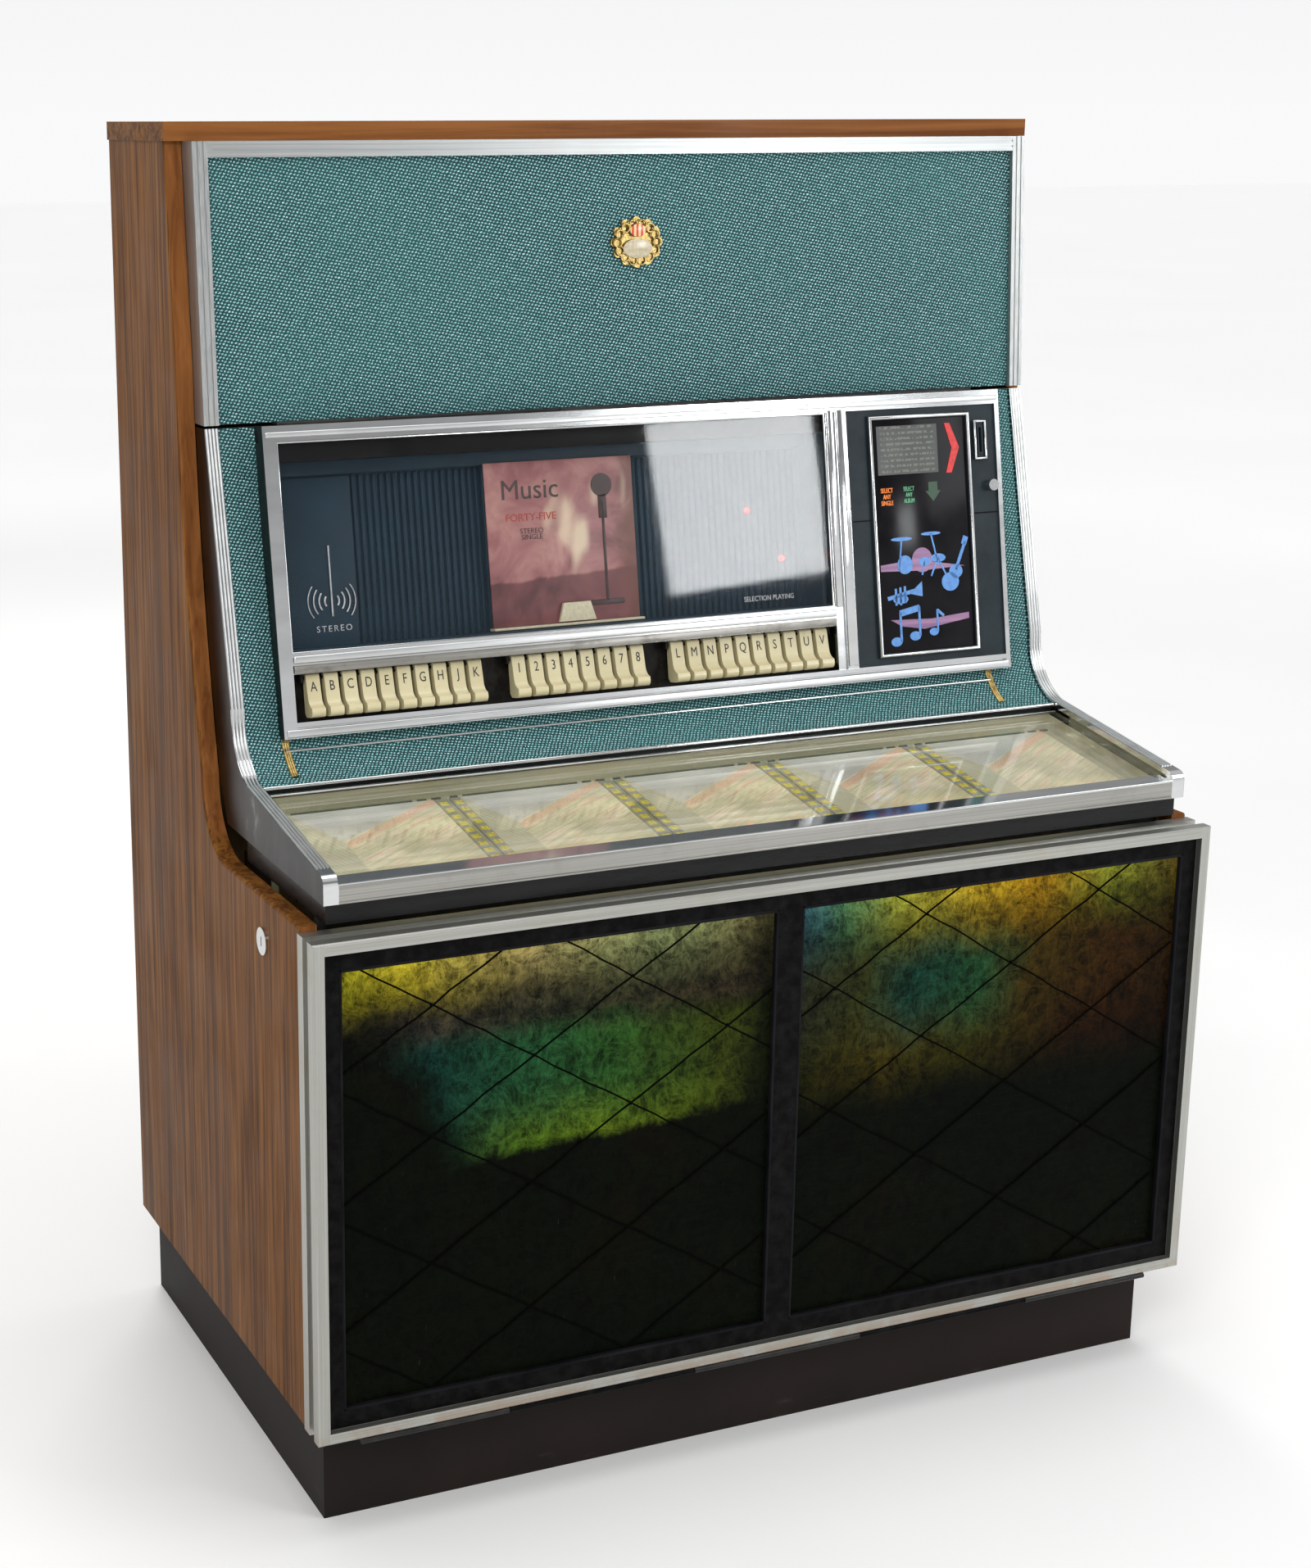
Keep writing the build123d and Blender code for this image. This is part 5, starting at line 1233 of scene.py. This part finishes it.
# ---- Lower door ----------------------------------------------------------------------------
# An aluminium frame in steps, painted black inside, with a black mullion. Its two panels are
# crinkled film on glass with a lamp behind the top edge, crossed by knotted black threads.
paint = Finish("door_frame_finish")
spot = paint.place()
x, y, z = paint.split(spot)
drawn = drawn_lines(paint, spot, x, 0.500, 0.504)
dirt = paint.noise(spot, 15.0, 6.0, 0.7)
silver = paint.tones(drawn, (0.33, 0.33, 0.30), (0.46, 0.46, 0.43))
silver = paint.mix(dirt.rising(0.50, 0.72) * 0.45, silver, (0.36, 0.33, 0.26))
low_edge = (1.0 - z.rising(0.108, 0.122)) * dirt.rising(0.42, 0.55)
silver = paint.mix(low_edge * 0.45, silver, (0.33, 0.20, 0.11))
inner = (1.0 - abs(x).rising(0.5028, 0.5032)) * z.rising(0.1188, 0.1192)
inner = inner * (1.0 - z.rising(0.6093, 0.6097)) * y.rising(-0.2979, -0.2975)
soot = paint.noise(spot, 70.0, 5.0, 0.7)
black = paint.tones(soot, (0.0020, 0.0020, 0.0020), (0.010, 0.010, 0.010), 0.4, 0.8)
knuckles = 1.0 - z.rising(0.1068, 0.1072)
inner = inner.most(knuckles)
frame_colour = paint.mix(inner, silver, black)
DOOR_METAL = paint.coat(frame_colour, drawn * 0.16 + dirt * 0.10 + 0.22, 0.92 - inner * 0.92,
                        paint.bump(drawn, 0.00006, 0.5), specular_ior_level=0.04)
dress(DOOR_METAL, "door_frame")

inner_bars = []
for low_x, high_x in ((-0.4860, -0.0135), (0.0135, 0.4860)):
    for low, high in (((low_x, -0.2975, 0.1365), (low_x + 0.0030, -0.2915, 0.5920)),
                      ((high_x - 0.0030, -0.2975, 0.1365), (high_x, -0.2915, 0.5920)),
                      ((low_x, -0.2975, 0.1365), (high_x, -0.2915, 0.1400)),
                      ((low_x, -0.2975, 0.5885), (high_x, -0.2915, 0.5920))):
        inner_bars.append(bar("inner", low, high, 0.0010))
place(merge("door_panel_beads", inner_bars), Matrix.Identity(4), MASK_BLACK, "door", "plinth_black")

# The lamp's light on the film is painted in as glow. There are bright patches near the top that fade towards
# the mullion, and dim painted shade elsewhere.
paint = Finish("crinkled_film")
spot = paint.place()
x, y, z = paint.split(spot)
flat = paint.join(x, 0.0, z)
warp = paint.noise(flat, 9.0, 4.0, 0.6) - 0.5
crease = paint.noise(flat, 42.0, 8.0, 0.74, 0.5)
fibre_a = paint.noise(paint.scaled(flat, (26.0, 26.0, 210.0), (0.0, 0.6, 0.0)), 1.0, 6.0, 0.72, 0.5)
fibre_b = paint.noise(paint.scaled(flat, (26.0, 26.0, 210.0), (0.0, -0.7, 0.0)), 1.0, 6.0, 0.72, 0.5)
threads = fibre_a.rising(0.50, 0.72) * 0.6 + fibre_b.rising(0.52, 0.74) * 0.6
silk = paint.noise(flat, 30.0, 7.0, 0.66, 1.8)
silk_lines = (1.0 - abs(silk - 0.5) * 2.0).rising(0.84, 1.0)
web = paint.noise(paint.scaled(flat, (60.0, 60.0, 22.0)), 1.0, 6.0, 0.70, 1.4)
web_lines = (1.0 - abs(web - 0.5) * 2.0).rising(0.88, 1.0)
texture = crease.rising(0.34, 0.72) * 0.65 + silk_lines * 0.36 + web_lines * 0.26 + threads * 0.30 + 0.10
top_glow = z.rising(0.530, 0.592) ** 2.0 * 1.7 + 0.80
texture = texture * top_glow
left = 1.0 - x.rising(-0.01, 0.01)
wx, wz = x + warp * 0.10, z + warp * 0.07
PANEL_WIDE = 0.48

# left panel colours, from its top edge down and from its outer edge in
left_run = (wx + 0.49) / PANEL_WIDE
top_run = paint.ramp(left_run, [(0.0, (0.42, 0.40, 0.015)), (0.16, (0.62, 0.50, 0.030)),
                                          (0.42, (0.42, 0.34, 0.120)), (0.70, (0.30, 0.36, 0.140)),
                                          (1.0, (0.20, 0.16, 0.060))])
mid_run = paint.ramp(left_run, [(0.0, (0.010, 0.050, 0.012)), (0.20, (0.020, 0.160, 0.120)),
                                          (0.42, (0.060, 0.300, 0.100)), (0.62, (0.090, 0.330, 0.060)),
                                          (0.85, (0.140, 0.200, 0.020)), (1.0, (0.050, 0.070, 0.012))])
low_run = paint.ramp(left_run, [(0.0, (0.004, 0.020, 0.004)), (0.24, (0.020, 0.160, 0.080)),
                                          (0.40, (0.230, 0.480, 0.030)), (0.62, (0.380, 0.600, 0.030)),
                                          (0.85, (0.160, 0.230, 0.015)), (1.0, (0.030, 0.040, 0.008))])
plum = paint.tones(crease, (0.050, 0.030, 0.045), (0.170, 0.110, 0.060), 0.35, 0.65)
left_glow = paint.mix(wz.rising(0.375, 0.450), low_run, mid_run)
left_glow = paint.mix(wz.rising(0.485, 0.520) * 0.85, left_glow, plum)
left_glow = paint.mix(wz.rising(0.520, 0.560), left_glow, top_run)
corner_x, corner_z = x + 0.485, z - 0.375
curved = (corner_x - (0.215 - corner_z) * 0.62 + warp * 0.09).rising(-0.030, 0.050)
over_line = (z + (x + 0.2) * -0.05 + warp * 0.03 + crease * 0.02).rising(0.384, 0.400)
top_band = (z + warp * 0.03 + (x + 0.485) * -0.25).rising(0.515, 0.545)
near_mullion = 1.0 - (x + warp * 0.04).rising(-0.060, -0.020) * 0.75
left_lit = (curved * over_line).most(top_band * 0.9) * near_mullion

# right panel colours, in the same three bands
right_run = (wx - 0.01) / PANEL_WIDE
r_top = paint.ramp(right_run, [(0.0, (0.030, 0.110, 0.170)), (0.12, (0.110, 0.280, 0.110)),
                                        (0.26, (0.420, 0.450, 0.050)), (0.45, (0.640, 0.440, 0.025)),
                                        (0.62, (0.560, 0.300, 0.010)), (0.80, (0.300, 0.330, 0.030)),
                                        (1.0, (0.120, 0.080, 0.012))])
r_mid = paint.ramp(right_run, [(0.0, (0.070, 0.080, 0.050)), (0.15, (0.130, 0.150, 0.030)),
                                        (0.30, (0.030, 0.170, 0.110)), (0.46, (0.060, 0.260, 0.090)),
                                        (0.60, (0.160, 0.100, 0.012)), (0.80, (0.130, 0.050, 0.008)),
                                        (1.0, (0.060, 0.030, 0.006))])
r_low = paint.ramp(right_run, [(0.0, (0.040, 0.050, 0.006)), (0.22, (0.200, 0.150, 0.012)),
                                        (0.42, (0.140, 0.130, 0.010)), (0.70, (0.080, 0.026, 0.005)),
                                        (1.0, (0.040, 0.012, 0.003))])
right_glow = paint.mix(wz.rising(0.400, 0.480), r_low, r_mid)
right_glow = paint.mix(wz.rising(0.500, 0.560), right_glow, r_top)
right_lit = (z + warp * 0.06).rising(0.350, 0.430)

# Painted shade: where the lamp's light doesn't reach, the film keeps a dim, dark glow.
shadow_run = paint.noise(flat, 5.0, 3.0)
shaded_film_glow = paint.ramp(shadow_run, [(0.35, (0.0020, 0.0060, 0.0020)), (0.55, (0.0060, 0.0100, 0.0020)),
                               (0.70, (0.0200, 0.0080, 0.0020))])
glow = paint.mix(left, right_glow, left_glow)
lit_amount = left * left_lit + (1.0 - left) * right_lit
film = paint.mix(lit_amount, shaded_film_glow, glow)
film = paint.mix(1.0, film, paint.join(texture, texture, texture), "MULTIPLY")
scratch = paint.noise(paint.scaled(flat, (900.0, 900.0, 40.0), (0.0, 0.9, 0.0)), 1.0, 2.0)
scratch = scratch.rising(0.735, 0.760)
surface = paint.mix(scratch * 0.22, (0.0016, 0.0018, 0.0014), (0.14, 0.14, 0.12))
FILM = paint.coat(surface, crease * 0.18 + 0.20, 0.0, paint.bump(crease + threads * 0.6, 0.0014, 0.5),
                  emission_color=film, emission_strength=0.36, specular_ior_level=0.02)
dress(FILM, "door_panels")

THREAD = plain_finish("knotted_thread", 700.0, (0.0008, 0.0008, 0.0008), (0.0030, 0.0030, 0.0030),
                      (0.2, 0.7), specular_ior_level=0.02)
THREAD_Y, THREAD_SLOPE, LATTICE_DROP = -0.2922, 0.622, 0.1340
panel_edges = ((-0.4820, -0.0168, -0.390, 0.542), (0.0168, 0.4820, 0.166, 0.563))
PANEL_LOW, PANEL_HIGH = 0.1402, 0.5882
wires = []
for low_x, high_x, knot_x, knot_z in panel_edges:
    for rise in (-THREAD_SLOPE, THREAD_SLOPE):
        for number in range(-6, 7):
            through_z = knot_z + number * LATTICE_DROP
            ends = []
            for x_at in (low_x, high_x):
                z_at = through_z + rise * (x_at - knot_x)
                if z_at > PANEL_HIGH:
                    x_at, z_at = knot_x + (PANEL_HIGH - through_z) / rise, PANEL_HIGH
                if z_at < PANEL_LOW:
                    x_at, z_at = knot_x + (PANEL_LOW - through_z) / rise, PANEL_LOW
                ends.append((x_at, z_at))
            (x0, z0), (x1, z1) = ends
            if not (low_x <= x0 <= high_x and low_x <= x1 <= high_x) or x1 - x0 < 0.02:
                continue
            steps = max(3, int((x1 - x0) / 0.018))
            run = []
            for step in range(steps + 1):
                share = step / steps
                sway = random.uniform(-0.0012, 0.0012) if 0 < step < steps else 0.0
                run.append((x0 + (x1 - x0) * share, THREAD_Y, z0 + (z1 - z0) * share + sway))
            wires.append(rod_along("thread", run, 0.0010, 6))
knots = []
for low_x, high_x, knot_x, knot_z in panel_edges:
    half_wide = LATTICE_DROP / THREAD_SLOPE / 2
    for column in range(-6, 7):
        for row in range(-8, 9):
            if (column + row) % 2:
                continue
            spot_x, spot_z = knot_x + column * half_wide, knot_z + row * LATTICE_DROP / 2
            if low_x + 0.004 < spot_x < high_x - 0.004 and PANEL_LOW + 0.004 < spot_z < PANEL_HIGH - 0.004:
                knots.append(ball((spot_x, THREAD_Y, spot_z), 0.0019, 10, 6))
place(merge("door_threads", wires + knots), Matrix.Identity(4), THREAD, "door", "plinth_black", 60.0)

# ---- Lamp shield -----------------------------------------------------------------------------
# A folded strip of blackened sheet stands in front of the tube, so that no light shows in the gap
# between the door and the lid. It rides on the cabinet.
shield = bar("lamp_shield", (-0.4900, -0.2440, 0.5960), (0.4900, -0.2428, 0.6280), 0.0003)
fold = bar("fold", (-0.4900, -0.2440, 0.5948), (0.4900, -0.2340, 0.5960), 0.0003)
place(merge("lamp_shield", [shield, fold]), Matrix.Identity(4), SEAM_SHADE_STEEL, "cabinet", "steel")
